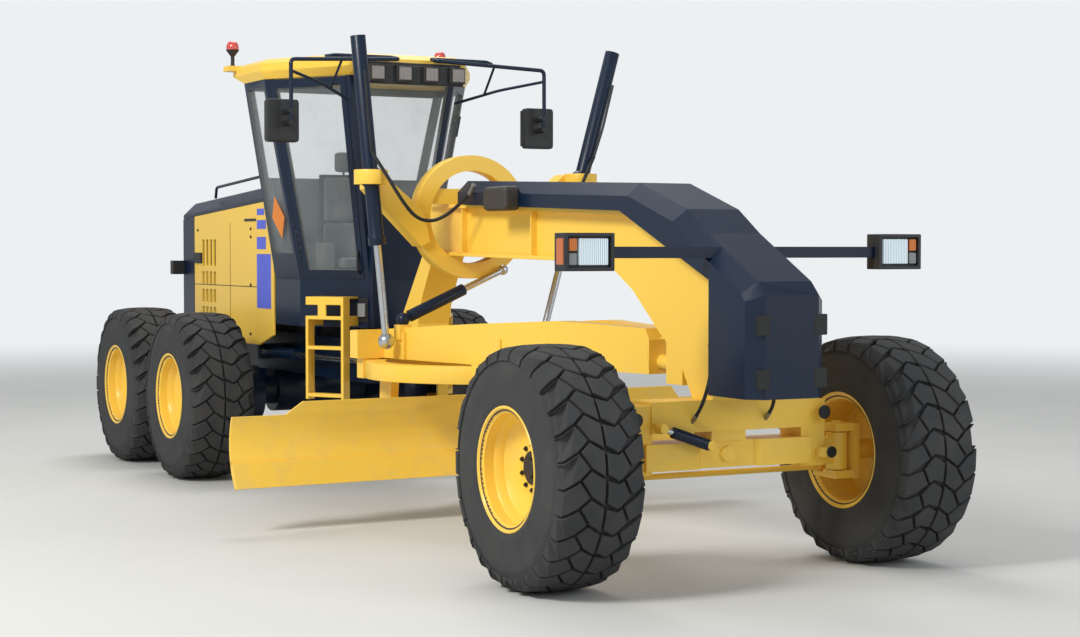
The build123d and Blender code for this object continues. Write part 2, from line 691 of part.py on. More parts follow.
with BuildPart() as tandem:
    bar((-CASE_X[0] - 20, REAR_AXLE, AXLE_Z), (CASE_X[0] + 20, REAR_AXLE, AXLE_Z), HOUSING_R)
    for x in (-RAIL_X[1], RAIL_X[0]):
        slab((x, x + RAIL_X[1] - RAIL_X[0]), (REAR_AXLE - 120, REAR_AXLE + 120), (AXLE_Z, RAIL_Z[0]))
    bar((-RAIL_X[0], REAR_AXLE, AXLE_Z), (RAIL_X[0], REAR_AXLE, AXLE_Z), HOUSING_R + 60)
    slab((-190, 190), (REAR_AXLE - 250, REAR_AXLE + 250), (RAIL_Z[0] + 5, RAIL_Z[0] + 150), Mode.SUBTRACT)
    slab((-300, 300), (REAR_AXLE - 250, REAR_AXLE + 250), (RAIL_Z[0], RAIL_Z[0] + 150), Mode.SUBTRACT)
    for side in (1, -1):
        low_x = min(side * CASE_X[0], side * CASE_X[1])
        with BuildSketch(Plane.YZ.offset(low_x)):
            with Locations((REAR_AXLE, AXLE_Z)):
                SlotCenterToCenter(TANDEM_BASE, 2 * CASE_R)
        extrude(amount=CASE_X[1] - CASE_X[0])
        for y in (REAR_AXLE - TANDEM_BASE / 2, REAR_AXLE + TANDEM_BASE / 2):
            end = REAR_TRACK / 2 + DISC_SET + HUB_OUT - 25
            bar((side * (CASE_X[1] - 10), y, AXLE_Z), (side * end, y, AXLE_Z), SPINDLE_R)
keep(tandem.part, "tandem_drive")

with BuildPart() as engine:
    slab((-250, 250), (behind(5750), behind(7250)), (RAIL_Z[1], 1950))
    slab((10 - RAIL_X[0], RAIL_X[0] - 10), (behind(5800), behind(7200)), (RAIL_Z[0] + 80, RAIL_Z[1]))
keep(engine.part, "engine_block")

# Articulation cylinders
ART_BARREL_R = 45.0
ART_ROD_R = 22.0
for name, side in SIDES:
    eye = Vector(side * EYE_X, EYE_Y, EYE_Z)
    base = Vector(side * BASE_X, BASE_Y, EYE_Z)
    back = (base - eye).normalized()
    with BuildPart() as art_barrel:
        bar(eye + back * 1425, base - back * 6, ART_BARREL_R)
        slab(
            (base.X - 35, base.X + 35),
            (BASE_Y - 60, BASE_Y + 30),
            (EYE_Z - 30, EYE_Z + 30),
        )
        bar(eye + back * 1424, base - back * 80, ART_ROD_R + BORE, Mode.SUBTRACT)
    keep(art_barrel.part, "articulation_barrel_" + name)
    with BuildPart() as art_rod:
        bar(eye, eye + back * 1730, ART_ROD_R)
        bar((eye.X, eye.Y, EYE_Z - 25), (eye.X, eye.Y, EYE_Z + 25), 44)
    keep(art_rod.part, "articulation_rod_" + name)

# Hood over the engine
HOOD_HALF = 550.0
HOOD_T = 20.0
HOOD_Y = (5480.0, 7440.0, 7750.0)
HOOD_LOW = 1020.0
EAVE_FRONT = 2195.0
EAVE_REAR = 2090.0
HOOD_RISE = 105.0
HOOD_CHAMFER = 110.0
HOOD_LIP = 30.0


def hood_face(y, eave, shrink):
    """The hood's arch across the machine, at a distance behind the front axle."""
    half = HOOD_HALF - shrink
    rise = eave + HOOD_RISE - shrink
    points = [
        (-half, eave - HOOD_LIP),
        (half, eave - HOOD_LIP),
        (half, eave),
        (half - HOOD_CHAMFER, rise),
        (HOOD_CHAMFER - half, rise),
        (-half, eave),
    ]
    return profile(Plane.XZ.offset(-behind(y)), points)


def eave_at(y):
    """Height of the hood's eave."""
    share = (y - HOOD_Y[0]) / (HOOD_Y[1] - HOOD_Y[0])
    return EAVE_FRONT + (EAVE_REAR - EAVE_FRONT) * share


with BuildPart() as hood:
    front, back = HOOD_Y[0], HOOD_Y[2]
    loft([hood_face(front, eave_at(front), 0), hood_face(back, eave_at(back), 0)])
    loft(
        [hood_face(front - 100, eave_at(front - 100), HOOD_T), hood_face(back + 100, eave_at(back + 100), HOOD_T)],
        mode=Mode.SUBTRACT,
    )
keep(hood.part, "hood")

PANEL_END = HOOD_Y[1] - 5
VENT_Z = ((1180.0, 1290.0), (1330.0, 1440.0), (1480.0, 1590.0), (1640.0, 1860.0))
VENT_W = 60.0
VENT_STEP = 100.0
VENT_FIRST = PANEL_END - 565
with BuildPart() as side_panels:
    outline = [
        (HOOD_Y[0], HOOD_LOW + 90),
        (HOOD_Y[0] + 330, HOOD_LOW),
        (PANEL_END, HOOD_LOW),
        (PANEL_END, eave_at(PANEL_END) - HOOD_LIP),
        (HOOD_Y[0], eave_at(HOOD_Y[0]) - HOOD_LIP),
    ]
    across(outline, HOOD_HALF)
    inside = (HOOD_T - HOOD_HALF, HOOD_HALF - HOOD_T)
    slab(inside, (behind(HOOD_Y[0] - 400), behind(HOOD_Y[1] + 500)), (HOOD_LOW - 100, EAVE_FRONT + 200), Mode.SUBTRACT)
    for low, high in VENT_Z:
        for step in range(4):
            y = VENT_FIRST + step * VENT_STEP
            slab((-HOOD_HALF - 5, HOOD_HALF + 5), (behind(y), behind(y + VENT_W)), (low, high), Mode.SUBTRACT)
keep(side_panels.part, "side_panels")

GRILLE_HALF = 450.0
GRILLE_Z = (1220.0, 1960.0)
SLATS = 12
SLAT_STEP = 60.0
SLAT_H = 22.0
GRILLE_FRONT = HOOD_Y[2] - 40
with BuildPart() as rear_frame_plate:
    frame = [(y, eave_at(y) - HOOD_LIP) for y in (HOOD_Y[2], GRILLE_FRONT)]
    across([(GRILLE_FRONT, RAIL_Z[1]), (HOOD_Y[2], RAIL_Z[1])] + frame, HOOD_HALF)
    slab(
        (-GRILLE_HALF, GRILLE_HALF), (behind(GRILLE_FRONT - 1), behind(HOOD_Y[2] + 1)), GRILLE_Z, Mode.SUBTRACT
    )
    for step in range(SLATS):
        z = GRILLE_Z[0] + 30 + step * SLAT_STEP
        slab((-GRILLE_HALF - 5, GRILLE_HALF + 5), (behind(GRILLE_FRONT + 5), behind(HOOD_Y[2] - 10)), (z, z + SLAT_H))
with BuildPart() as rear_corner:
    edge = [(y, eave_at(y) - HOOD_LIP) for y in (GRILLE_FRONT, HOOD_Y[1])]
    corner = [(HOOD_Y[1], RAIL_Z[1]), (GRILLE_FRONT, RAIL_Z[1])] + edge
    face = profile(Plane.YZ.offset(HOOD_HALF - HOOD_T), [(behind(y), z) for y, z in corner])
    extrude(face, amount=HOOD_T)
keep(
    Part(children=[rear_frame_plate.part, rear_corner.part, to_right(rear_corner.part)]),
    "rear_grille",
)

# Cab: plan corners at the sill and under the roof, from the front pillars back
CAB_LOW = 1200.0
SILL_Z = 1550.0
EAVE_Z = 3040.0
WALL = 50.0
PILLARS = (
    # half width and place at the sill, then the same under the roof
    ((208, 4373), (420, 4225)),
    ((541, 4922), (827, 4897)),
    ((541, 5450), (827, 5340)),
)
DOOR_GAP = 5.0
DOOR_T = 40.0
PILLAR_W = 45.0
GLASS_T = 6.0
CUT_PAST = 10.0


def cab_plan(height, shrink=0.0):
    """The cab's outline at a height, all round, its walls leaning out from sill to roof."""
    share = (height - SILL_Z) / (EAVE_Z - SILL_Z)
    right = []
    for (x0, y0), (x1, y1) in PILLARS:
        right.append((-(x0 + (x1 - x0) * share), behind(y0 + (y1 - y0) * share)))
    points = right + [(-x, y) for x, y in reversed(right)]
    with BuildSketch(Plane.XY.offset(height)) as plan:
        with BuildLine():
            Polyline(*points, close=True)
        make_face()
        if shrink:
            offset(amount=-shrink, kind=Kind.INTERSECTION)
    return plan.sketch


def wall_plane(first, second, side):
    """Plane of a wall between two corners, X along its foot, Z pointing out of the cab."""
    corners = []
    for (x0, y0), (x1, y1) in (first, second):
        corners.append((Vector(side * x0, behind(y0), SILL_Z), Vector(side * x1, behind(y1), EAVE_Z)))
    if side < 0:
        corners.reverse()
    (foot, head), (other, _) = corners
    return Plane(origin=foot, x_dir=other - foot, z_dir=(other - foot).cross(head - foot)), corners


def opening(wall, low, high, margin, top_margin=None):
    """Corners on a wall's plane between two heights, a margin in from its upright edges."""
    plane, corners = wall
    points = []
    for z, inset in ((low, margin), (high, margin if top_margin is None else top_margin)):
        share = (z - SILL_Z) / (EAVE_Z - SILL_Z)
        pair = []
        for (foot, head), shift in zip(corners, (inset, -inset)):
            at = plane.to_local_coords(foot + (head - foot) * share)
            pair.append((at.X + shift, at.Y))
        points += pair if not points else pair[::-1]
    return points


def rear_pair(corner):
    """A corner of the right side, as its mirror on the left."""
    (x0, y0), (x1, y1) = corner
    return ((-x0, y0), (-x1, y1))


FRONT_WALL = wall_plane(rear_pair(PILLARS[0]), PILLARS[0], 1)
REAR_WALL = wall_plane(PILLARS[2], rear_pair(PILLARS[2]), 1)
DOOR_WALLS = [(name, side, wall_plane(PILLARS[0], PILLARS[1], side)) for name, side in SIDES]
SIDE_WALLS = [(name, side, wall_plane(PILLARS[1], PILLARS[2], side)) for name, side in SIDES]
HINGE_R = 14.0
HINGE_Z = (1800.0, 2700.0)
HINGE_LENGTH = 70.0


def hinge_ends(wall, side, height):
    """Ends of the door's own hinge knuckle, on the outer line of the door's rear edge."""
    plane, corners = wall
    points = opening(wall, height, height + HINGE_LENGTH, PILLAR_W)
    rear = (points[1], points[2]) if side > 0 else (points[0], points[3])
    return [plane.from_local_coords(Vector(x, y, 0)) for x, y in rear]


SCREEN = opening(FRONT_WALL, 2170, 2985, PILLAR_W)
REAR_WINDOW = opening(REAR_WALL, 2330, 2985, PILLAR_W + 15)
SIDE_WINDOWS = [(wall, opening(wall, 1750, 2985, PILLAR_W)) for name, side, wall in SIDE_WALLS]
WINDOWS = [(FRONT_WALL, SCREEN), (REAR_WALL, REAR_WINDOW)] + SIDE_WINDOWS

with BuildPart() as cab_shell:
    loft([cab_plan(SILL_Z), cab_plan(EAVE_Z)])
    extrude(cab_plan(SILL_Z), amount=CAB_LOW - SILL_Z)
    loft([cab_plan(SILL_Z, WALL), cab_plan(EAVE_Z, WALL)], mode=Mode.SUBTRACT)
    extrude(cab_plan(SILL_Z, WALL), amount=CAB_LOW + 50 - SILL_Z, mode=Mode.SUBTRACT)
    for (plane, corners), points in WINDOWS:
        extrude(profile(plane.offset(CUT_PAST), points), amount=-2 * WALL - CUT_PAST, mode=Mode.SUBTRACT)
    for name, side, wall in DOOR_WALLS:
        hole = opening(wall, SILL_Z + DOOR_GAP, EAVE_Z + 1, PILLAR_W - DOOR_GAP)
        extrude(profile(wall[0].offset(CUT_PAST), hole), amount=-1.5 * WALL - CUT_PAST, mode=Mode.SUBTRACT)
        for height in HINGE_Z:
            low, high = hinge_ends(wall, side, height)
            up = (high - low).normalized()
            bar(low - up * 45, high + up * 45, HINGE_R)
            bar(low, high, HINGE_R + 1, Mode.SUBTRACT)
keep(cab_shell.part, "cab_shell")

with BuildPart() as cab_glass:
    for (plane, corners), points in WINDOWS:
        with BuildSketch(plane.offset(-20)) as pane:
            with BuildLine():
                Polyline(*points, close=True)
            make_face()
            offset(amount=-GAP, kind=Kind.INTERSECTION)
        extrude(pane.sketch, amount=-GLASS_T)
keep(cab_glass.part, "cab_glass")

DOOR_LOW = SILL_Z + 2 * DOOR_GAP
DOOR_HIGH = EAVE_Z - 2 * DOOR_GAP
for name, side, wall in DOOR_WALLS:
    plane = wall[0]
    window = opening(wall, DOOR_LOW + 65, DOOR_HIGH - 60, PILLAR_W + 50)
    with BuildPart() as door:
        extrude(profile(plane, opening(wall, DOOR_LOW, DOOR_HIGH, PILLAR_W)), amount=-DOOR_T)
        extrude(profile(plane, window), amount=-2 * DOOR_T, mode=Mode.SUBTRACT)
        for height in HINGE_Z:
            low, high = hinge_ends(wall, side, height)
            up = (high - low).normalized()
            bar(low - up * 47, low + up * GAP, HINGE_R + 1, Mode.SUBTRACT)
            bar(high - up * GAP, high + up * 47, HINGE_R + 1, Mode.SUBTRACT)
            bar(low + up * GAP, high - up * GAP, HINGE_R)
    keep(door.part, "door_" + name)
    with BuildPart() as door_glass:
        with BuildSketch(plane.offset(-16)) as pane:
            with BuildLine():
                Polyline(*window, close=True)
            make_face()
            offset(amount=-GAP, kind=Kind.INTERSECTION)
        extrude(pane.sketch, amount=-GLASS_T)
    keep(door_glass.part, "door_glass_" + name)

# plan corners of the roof: half width, distance behind the front axle
ROOF_PLAN = ((433, 4090), (860, 4880), (860, 5500))


def roof_plan(height, shrink=0.0):
    """The roof's outline at a height."""
    right = [(-x, behind(y)) for x, y in ROOF_PLAN]
    points = right + [(-x, y) for x, y in reversed(right)]
    with BuildSketch(Plane.XY.offset(height)) as plan:
        with BuildLine():
            Polyline(*points, close=True)
        make_face()
        if shrink:
            offset(amount=-shrink, kind=Kind.INTERSECTION)
    return plan.sketch


BEACON_X = 875.0
BEACON_Y = 5465.0
with BuildPart() as cab_roof:
    loft([cab_plan(EAVE_Z), roof_plan(3100)], ruled=True)
    extrude(roof_plan(3100), amount=55)
    loft([roof_plan(3155), roof_plan(3192, 70)], ruled=True)
    for side in (1, -1):
        inner = min(side * 780, side * (BEACON_X + 55))
        slab((inner, inner + BEACON_X - 725), (behind(BEACON_Y - 60), behind(BEACON_Y + 60)), (3140, 3180))
keep(cab_roof.part, "cab_roof")

with BuildPart() as beacons:
    for side in (1, -1):
        with Locations((side * BEACON_X, behind(BEACON_Y), 3180)):
            Cylinder(52, 40, align=(Align.CENTER, Align.CENTER, Align.MIN))
        with Locations((side * BEACON_X, behind(BEACON_Y), 3220)):
            Cylinder(48, 110, align=(Align.CENTER, Align.CENTER, Align.MIN))
        with Locations((side * BEACON_X, behind(BEACON_Y), 3330)):
            Cone(48, 25, 45, align=(Align.CENTER, Align.CENTER, Align.MIN))
keep(beacons.part, "beacons")

with BuildPart() as cowl:
    lean = (PILLARS[0][0][1] - PILLARS[0][1][1]) / (EAVE_Z - SILL_Z)
    foot = PILLARS[0][0][1] - GAP
    across(
        [
            (foot, CAB_LOW),
            (foot, SILL_Z),
            (foot - lean * 620, SILL_Z + 620),
            (foot - 140, SILL_Z + 600),
            (foot - 80, SILL_Z),
            (foot - 80, CAB_LOW),
        ],
        PILLARS[0][0][0] + 10,
    )
keep(cowl.part, "cab_cowl")

# Seat and controls
FLOOR_Z = CAB_LOW + 50
SEAT_Y = (4800.0, 5270.0)
with BuildPart() as seat_base:
    slab((-170, 170), (behind(SEAT_Y[0] + 60), behind(SEAT_Y[1] - 40)), (FLOOR_Z, 1560))
    slab((-230, 230), (behind(SEAT_Y[0] + 20), behind(SEAT_Y[1])), (1560, 1620))
keep(seat_base.part, "seat_base")

with BuildPart() as seat_cushion:
    slab((-250, 250), (behind(SEAT_Y[0]), behind(SEAT_Y[1] - 100)), (1620, 1730))
keep(seat_cushion.part, "seat_cushion")

with BuildPart() as seat_back:
    lean_back = [(SEAT_Y[1] - 100 + GAP, 1640), (5285, 1640), (5330, 2330), (5230, 2330)]
    across(lean_back, 240)
    across([(5245, 2370), (5325, 2370), (5340, 2560), (5260, 2560)], 140)
    across([(5270, 2320), (5300, 2320), (5305, 2380), (5275, 2380)], 60)
keep(seat_back.part, "seat_back")

WHEEL_AT = Vector(0, behind(4600), 2010)
WHEEL_TILT = 25.0
with BuildPart() as controls:
    across([(4440, FLOOR_Z), (4540, FLOOR_Z), (4625, 1985), (4575, 1995)], 70)
    with Locations(Location(WHEEL_AT, (WHEEL_TILT, 0, 0))):
        Torus(185, 14)
        Box(360, 30, 16)
        Cylinder(40, 40)
    slab((-420, -270), (behind(4900), behind(5250)), (FLOOR_Z, 1830))
    slab((270, 420), (behind(4900), behind(5250)), (FLOOR_Z, 1830))
keep(controls.part, "controls")

# Ladders, parallel to the doors
LADDER_ALONG = 111.0
LADDER_OUT = 150.0
LADDER_W = 323.0
LADDER_Z = (670.0, 1288.0)
STEP_Z = 1430.0
STEP_LIP = 60.0
TAB_X = (148.0, 222.0)
RUNG_Z = (690.0, 1040.0, 1262.0)
foot_a = Vector(PILLARS[0][0][0], PILLARS[0][0][1], 0)
foot_b = Vector(PILLARS[1][0][0], PILLARS[1][0][1], 0)
along = (foot_b - foot_a).normalized()
outward = Vector(along.Y, -along.X, 0)
ladder_at = foot_a + along * LADDER_ALONG + outward * LADDER_OUT
with BuildPart() as ladder:
    for x in (0, LADDER_W):
        slab((x - 12, x + 12), (-40, 40), LADDER_Z)
        slab((x - 12, x + 12), (30, LADDER_OUT - GAP), (CAB_LOW + 15, LADDER_Z[1]))
    for z in RUNG_Z:
        slab((0, LADDER_W), (-40, 40), (z, z + 26))
    slab((-12, LADDER_W + 12), (-40, LADDER_OUT - GAP), (STEP_Z - 14, STEP_Z))
    slab((-12, LADDER_W + 12), (-40, -28), (STEP_Z - STEP_LIP, STEP_Z))
    for x, width in ((0, 12), (LADDER_W, 12)):
        slab((x - width, x + width), (-40, 40), (STEP_Z - STEP_LIP, STEP_Z))
    slab((-12, 12), (-40, 40), (RUNG_Z[2], STEP_Z))
    slab(TAB_X, (-40, -28), (RUNG_Z[2], STEP_Z))
ladder_turn = math.degrees(math.atan2(along.Y, along.X))
left_ladder = ladder.part.moved(Location((ladder_at.X, behind(ladder_at.Y), 0), (0, 0, ladder_turn)))
keep(Part(children=[left_ladder, to_right(left_ladder)]), "ladders")

# Mirrors
ARM_TOP = (994.0, 3890.0, 3117.0)
TUBE_R = 13.0
with BuildPart() as mirror_arms:
    for side in (1, -1):
        corner = (side * ARM_TOP[0], behind(ARM_TOP[1]), ARM_TOP[2])
        bar((side * 400, behind(4066), 3122), corner, TUBE_R)
        slab((side * 400 - 20, side * 400 + 20), (behind(4052), behind(4090)), (3104, 3140))
        bar((side * 424, behind(4243), 2860), corner, TUBE_R)
        bar(corner, (corner[0], corner[1], 2640), TUBE_R)
        bar((corner[0], corner[1], 2680), (corner[0], corner[1] + 110, 2680), TUBE_R)
        with Locations(corner):
            Sphere(TUBE_R)
keep(mirror_arms.part, "mirror_arms")

with BuildPart() as mirrors:
    for side in (1, -1):
        with Locations((side * 1012, behind(4035), 2680)):
            Box(235, 70, 300)
keep(mirrors.part, "mirrors")

with BuildPart() as work_lamps:
    for x in (-316, -105, 105, 316):
        slab((x - 60, x + 60), (behind(3950), behind(4030)), (2980, 3100))
    slab((-376, 376), (behind(4030), behind(4060)), (3060, 3125))
    for side in (1, -1):
        slab((side * 250 - 15, side * 250 + 15), (behind(4050), behind(4090)), (3103, 3125))
    for side in (1, -1):
        inner = min(side * HOOD_HALF, side * (HOOD_HALF + 110))
        slab((inner, inner + 110), (behind(7700), behind(7780)), (1560, 1680))
keep(work_lamps.part, "work_lamps")
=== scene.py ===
# %% [markdown]
# # A motor grader, dressed from its imported model
# The imported model gives the machine's real shape: frames, cab, blade and wheels, in metres, with X to the
# machine's left, -Y forward and Z up. This script keeps that shape, gives every piece its finish, and adds
# what is easier to shape here than in CAD: the tyres' tread, the seat's padding, hoses, lenses and small
# fittings. The first cell loads the frame.

# %% Load the imported frame
import math

import bmesh
import bpy
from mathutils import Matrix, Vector


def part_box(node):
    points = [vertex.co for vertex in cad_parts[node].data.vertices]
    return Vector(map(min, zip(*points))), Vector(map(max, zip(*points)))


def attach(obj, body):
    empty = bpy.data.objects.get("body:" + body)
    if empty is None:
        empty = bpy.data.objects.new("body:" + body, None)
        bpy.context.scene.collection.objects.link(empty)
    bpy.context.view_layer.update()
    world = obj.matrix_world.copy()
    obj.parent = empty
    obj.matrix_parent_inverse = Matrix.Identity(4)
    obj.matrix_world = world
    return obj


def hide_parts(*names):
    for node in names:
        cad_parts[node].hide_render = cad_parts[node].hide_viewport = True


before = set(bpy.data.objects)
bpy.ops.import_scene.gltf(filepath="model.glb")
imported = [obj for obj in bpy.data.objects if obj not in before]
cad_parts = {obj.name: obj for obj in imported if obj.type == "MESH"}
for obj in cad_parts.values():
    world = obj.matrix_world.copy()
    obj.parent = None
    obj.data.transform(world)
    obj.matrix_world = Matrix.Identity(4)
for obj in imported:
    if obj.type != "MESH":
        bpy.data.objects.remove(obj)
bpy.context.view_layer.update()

FRONT_AXLE = -3.73


def behind(distance):
    """Y of a place that lies this far behind the front axle."""
    return FRONT_AXLE + distance


# %% [markdown]
# ## The camera
# The photograph looks at the machine from its front right, a little above the height of the axles' tops,
# with a moderately long lens. The place, turn and focal length were worked out from the wheels and the beam
# in the photograph, so they are written as plain numbers. The shift is a few pixels, only what the framing
# needs.

# %% Camera
CAMERA_AT = (-5.8744, -12.7668, 1.7852)
CAMERA_YAW = 27.967
CAMERA_DOWN = 2.0624
camera_data = bpy.data.cameras.new("camera")
camera_data.lens = 65.62
camera_data.sensor_width = 36.0
camera_data.shift_x = -3.77 / 1080
camera_data.shift_y = 0.90 / 1080
camera_data.clip_end = 200.0
camera = bpy.data.objects.new("camera", camera_data)
camera.location = CAMERA_AT
camera.rotation_euler = (math.radians(90 - CAMERA_DOWN), 0.0, math.radians(-CAMERA_YAW))
bpy.context.scene.collection.objects.link(camera)
bpy.context.scene.camera = camera
print("camera", CAMERA_AT, "lens", camera_data.lens)

# %% [markdown]
# ## Shader maths
# A material is a tree of nodes, and its sums are easier to read as sums. Value lets the output of one node
# take part in Python arithmetic, and Finish adds every node by one method: its kind, then its settings, then
# its inputs.

# %% Shader maths
class Value:
    """A node's output that takes part in Python arithmetic: each operation adds its own node."""

    def __init__(self, finish, socket):
        self.finish = finish
        self.socket = socket

    def maths(self, operation, first, second=None):
        inputs = {0: first}
        if second is not None:
            inputs[1] = second
        return self.finish.node("ShaderNodeMath", {"operation": operation}, inputs)

    def __add__(self, other):
        return self.maths("ADD", self, other)

    def __radd__(self, other):
        return self.maths("ADD", other, self)

    def __sub__(self, other):
        return self.maths("SUBTRACT", self, other)

    def __rsub__(self, other):
        return self.maths("SUBTRACT", other, self)

    def __mul__(self, other):
        return self.maths("MULTIPLY", self, other)

    def __rmul__(self, other):
        return self.maths("MULTIPLY", other, self)

    def __truediv__(self, other):
        return self.maths("DIVIDE", self, other)

    def __rtruediv__(self, other):
        return self.maths("DIVIDE", other, self)

    def __pow__(self, other):
        return self.maths("POWER", self, other)

    def __lt__(self, other):
        return self.maths("LESS_THAN", self, other)

    def clamp(self):
        return self.maths("MAXIMUM", self.maths("MINIMUM", self, 1.0), 0.0)

    def smooth(self, low, high):
        """0 below low, 1 above high, and an even ramp between them."""
        settings = {"interpolation_type": "SMOOTHSTEP"}
        inputs = {"Value": self, "From Min": low, "From Max": high}
        return self.finish.node("ShaderNodeMapRange", settings, inputs)


class Finish:
    """A material that is written node by node."""

    def __init__(self, name):
        self.material = bpy.data.materials.new(name)
        self.material.use_nodes = True
        self.tree = self.material.node_tree
        self.shader = next(n for n in self.tree.nodes if n.type == "BSDF_PRINCIPLED")

    def node(self, kind, settings=None, inputs=None, output=0):
        """Adds a node, sets it, feeds its sockets, and gives back one of its outputs."""
        node = self.tree.nodes.new(kind)
        for key, value in (settings or {}).items():
            setattr(node, key, value)
        for key, value in (inputs or {}).items():
            self.feed(node.inputs[key], value)
        return Value(self, node.outputs[output])

    def feed(self, socket, value):
        if isinstance(value, Value):
            self.tree.links.new(value.socket, socket)
        else:
            socket.default_value = value

    def place(self):
        """Where a point of the surface is, in the object's own metres."""
        return self.node("ShaderNodeTexCoord", output="Object")

    def noise(self, scale, detail=2.0, roughness=0.5, at=None):
        """A soft random value between 0 and 1, with features about 1/scale metres wide."""
        inputs = {"Vector": at or self.place(), "Scale": scale, "Detail": detail, "Roughness": roughness}
        return self.node("ShaderNodeTexNoise", None, inputs, output=0)

    def axis(self, letter, at=None):
        """One coordinate of a point, as a number."""
        return self.node("ShaderNodeSeparateXYZ", None, {0: at or self.place()}, output=letter)

    def mix(self, share, first, second):
        """A colour part of the way from the first to the second."""
        return self.node("ShaderNodeMix", {"data_type": "RGBA"}, {0: share, 6: first, 7: second}, output=2)

    def bump(self, height, distance, strength=1.0):
        """Lifts the surface by a height between 0 and 1 times a distance in metres."""
        inputs = {"Height": height, "Distance": distance, "Strength": strength}
        normal = self.node("ShaderNodeBump", None, inputs, output="Normal")
        self.feed(self.shader.inputs["Normal"], normal)

    def cover(self, share, colour):
        """Hides the surface behind an even glow of one colour, by a share between 0 and 1."""
        glow = self.node("ShaderNodeEmission", None, {"Color": colour, "Strength": 1.0})
        blend = self.node("ShaderNodeMixShader", None, {0: share, 2: glow})
        self.tree.links.new(self.shader.outputs[0], blend.socket.node.inputs[1])
        output = next(n for n in self.tree.nodes if n.type == "OUTPUT_MATERIAL")
        self.tree.links.new(blend.socket, output.inputs["Surface"])

    def set(self, **sockets):
        """Feeds the shader's own sockets: base_color becomes Base Color, and so on."""
        for key, value in sockets.items():
            label = key.replace("_", " ").title().replace("Ior", "IOR")
            self.feed(self.shader.inputs[label], value)
        return self


def hue(code):
    """A colour written as on screen, turned into the light values that a shader works with."""
    parts = [int(code[i : i + 2], 16) / 255 for i in (1, 3, 5)]
    linear = [p / 12.92 if p <= 0.04045 else ((p + 0.055) / 1.055) ** 2.4 for p in parts]
    return (*linear, 1.0)


print("shader maths ready")

# %% [markdown]
# ## Floor and light
# The machine stands on a plain pale floor under a soft studio. One large lamp from the front right is the
# key, a second fills the left side, and a third lies overhead and a little behind so that the roof and hood
# get an edge of light. The world is a pale grey for the camera and for reflections, and dimmer as a light,
# so that colours keep the value they are painted with. Far from the machine the floor fades into the
# backdrop, so that no horizon shows.

# %% Floor
BACKDROP = hue("#EDF0F2")
FADE = (9.0, 26.0)
floor_mesh = bpy.data.meshes.new("studio_floor")
REACH = 60
floor_corners = [(-REACH, -REACH, 0), (REACH, -REACH, 0), (REACH, REACH, 0), (-REACH, REACH, 0)]
floor_mesh.from_pydata(floor_corners, [], [(0, 1, 2, 3)])
floor = bpy.data.objects.new("studio_floor", floor_mesh)
bpy.context.scene.collection.objects.link(floor)
floor_finish = Finish("studio_floor")
floor_tone = floor_finish.noise(0.6, 4.0)
floor_finish.set(
    base_color=floor_finish.mix(floor_tone, hue("#C9CAC8"), hue("#D3D3D0")),
    roughness=0.9,
    specular_ior_level=0.2,
)
ground_x, ground_y = floor_finish.axis("X"), floor_finish.axis("Y")
away = (ground_x * ground_x + ground_y * ground_y) ** 0.5
floor_finish.cover(away.smooth(*FADE), BACKDROP)
floor.data.materials.append(floor_finish.material)
print("floor", tuple(floor.dimensions))

# %% Lamps and world
TARGET = Vector((0.0, -0.6, 1.2))
LAMPS = (
    # name, place, size, watts, colour
    ("key_lamp", (-11.5, -5.5, 9.5), 4.0, 1500.0, (1.0, 0.98, 0.93)),
    ("fill_lamp", (6.0, -12.0, 5.0), 6.0, 260.0, (0.93, 0.96, 1.0)),
    ("top_lamp", (1.5, 5.0, 11.0), 6.0, 500.0, (1.0, 1.0, 1.0)),
)
for name, at, size, watts, colour in LAMPS:
    lamp_data = bpy.data.lights.new(name, "AREA")
    lamp_data.shape = "DISK"
    lamp_data.size = size
    lamp_data.energy = watts
    lamp_data.color = colour
    lamp = bpy.data.objects.new(name, lamp_data)
    lamp.location = at
    lamp.rotation_euler = (TARGET - Vector(at)).to_track_quat("-Z", "Y").to_euler()
    bpy.context.scene.collection.objects.link(lamp)

WORLD_LIGHT = 0.6
world = bpy.data.worlds.new("studio_world")
bpy.context.scene.world = world
world.use_nodes = True
world_nodes = world.node_tree.nodes
world_links = world.node_tree.links
background = world_nodes["Background"]
background.inputs["Color"].default_value = BACKDROP
paths = world_nodes.new("ShaderNodeLightPath")
seen = world_nodes.new("ShaderNodeMath")
seen.operation = "MAXIMUM"
world_links.new(paths.outputs["Is Camera Ray"], seen.inputs[0])
world_links.new(paths.outputs["Is Transmission Ray"], seen.inputs[1])
strength = world_nodes.new("ShaderNodeMapRange")
strength.inputs["To Min"].default_value = WORLD_LIGHT
strength.inputs["To Max"].default_value = 1.0
world_links.new(seen.outputs[0], strength.inputs["Value"])
world_links.new(strength.outputs["Result"], background.inputs["Strength"])
bpy.context.scene.view_settings.view_transform = "Standard"
print("lamps:", [row[0] for row in LAMPS])

# %% [markdown]
# ## Paint
# The machine's two paints are a warm yellow and a very dark navy, sprayed and baked, so both have a soft
# gloss with a faint orange-peel ripple. Real paint is never one flat tone: it is duller and dustier low
# down, and a little darker in patches. The recipe is written once and takes the colours as its values, so
# both paints age alike.

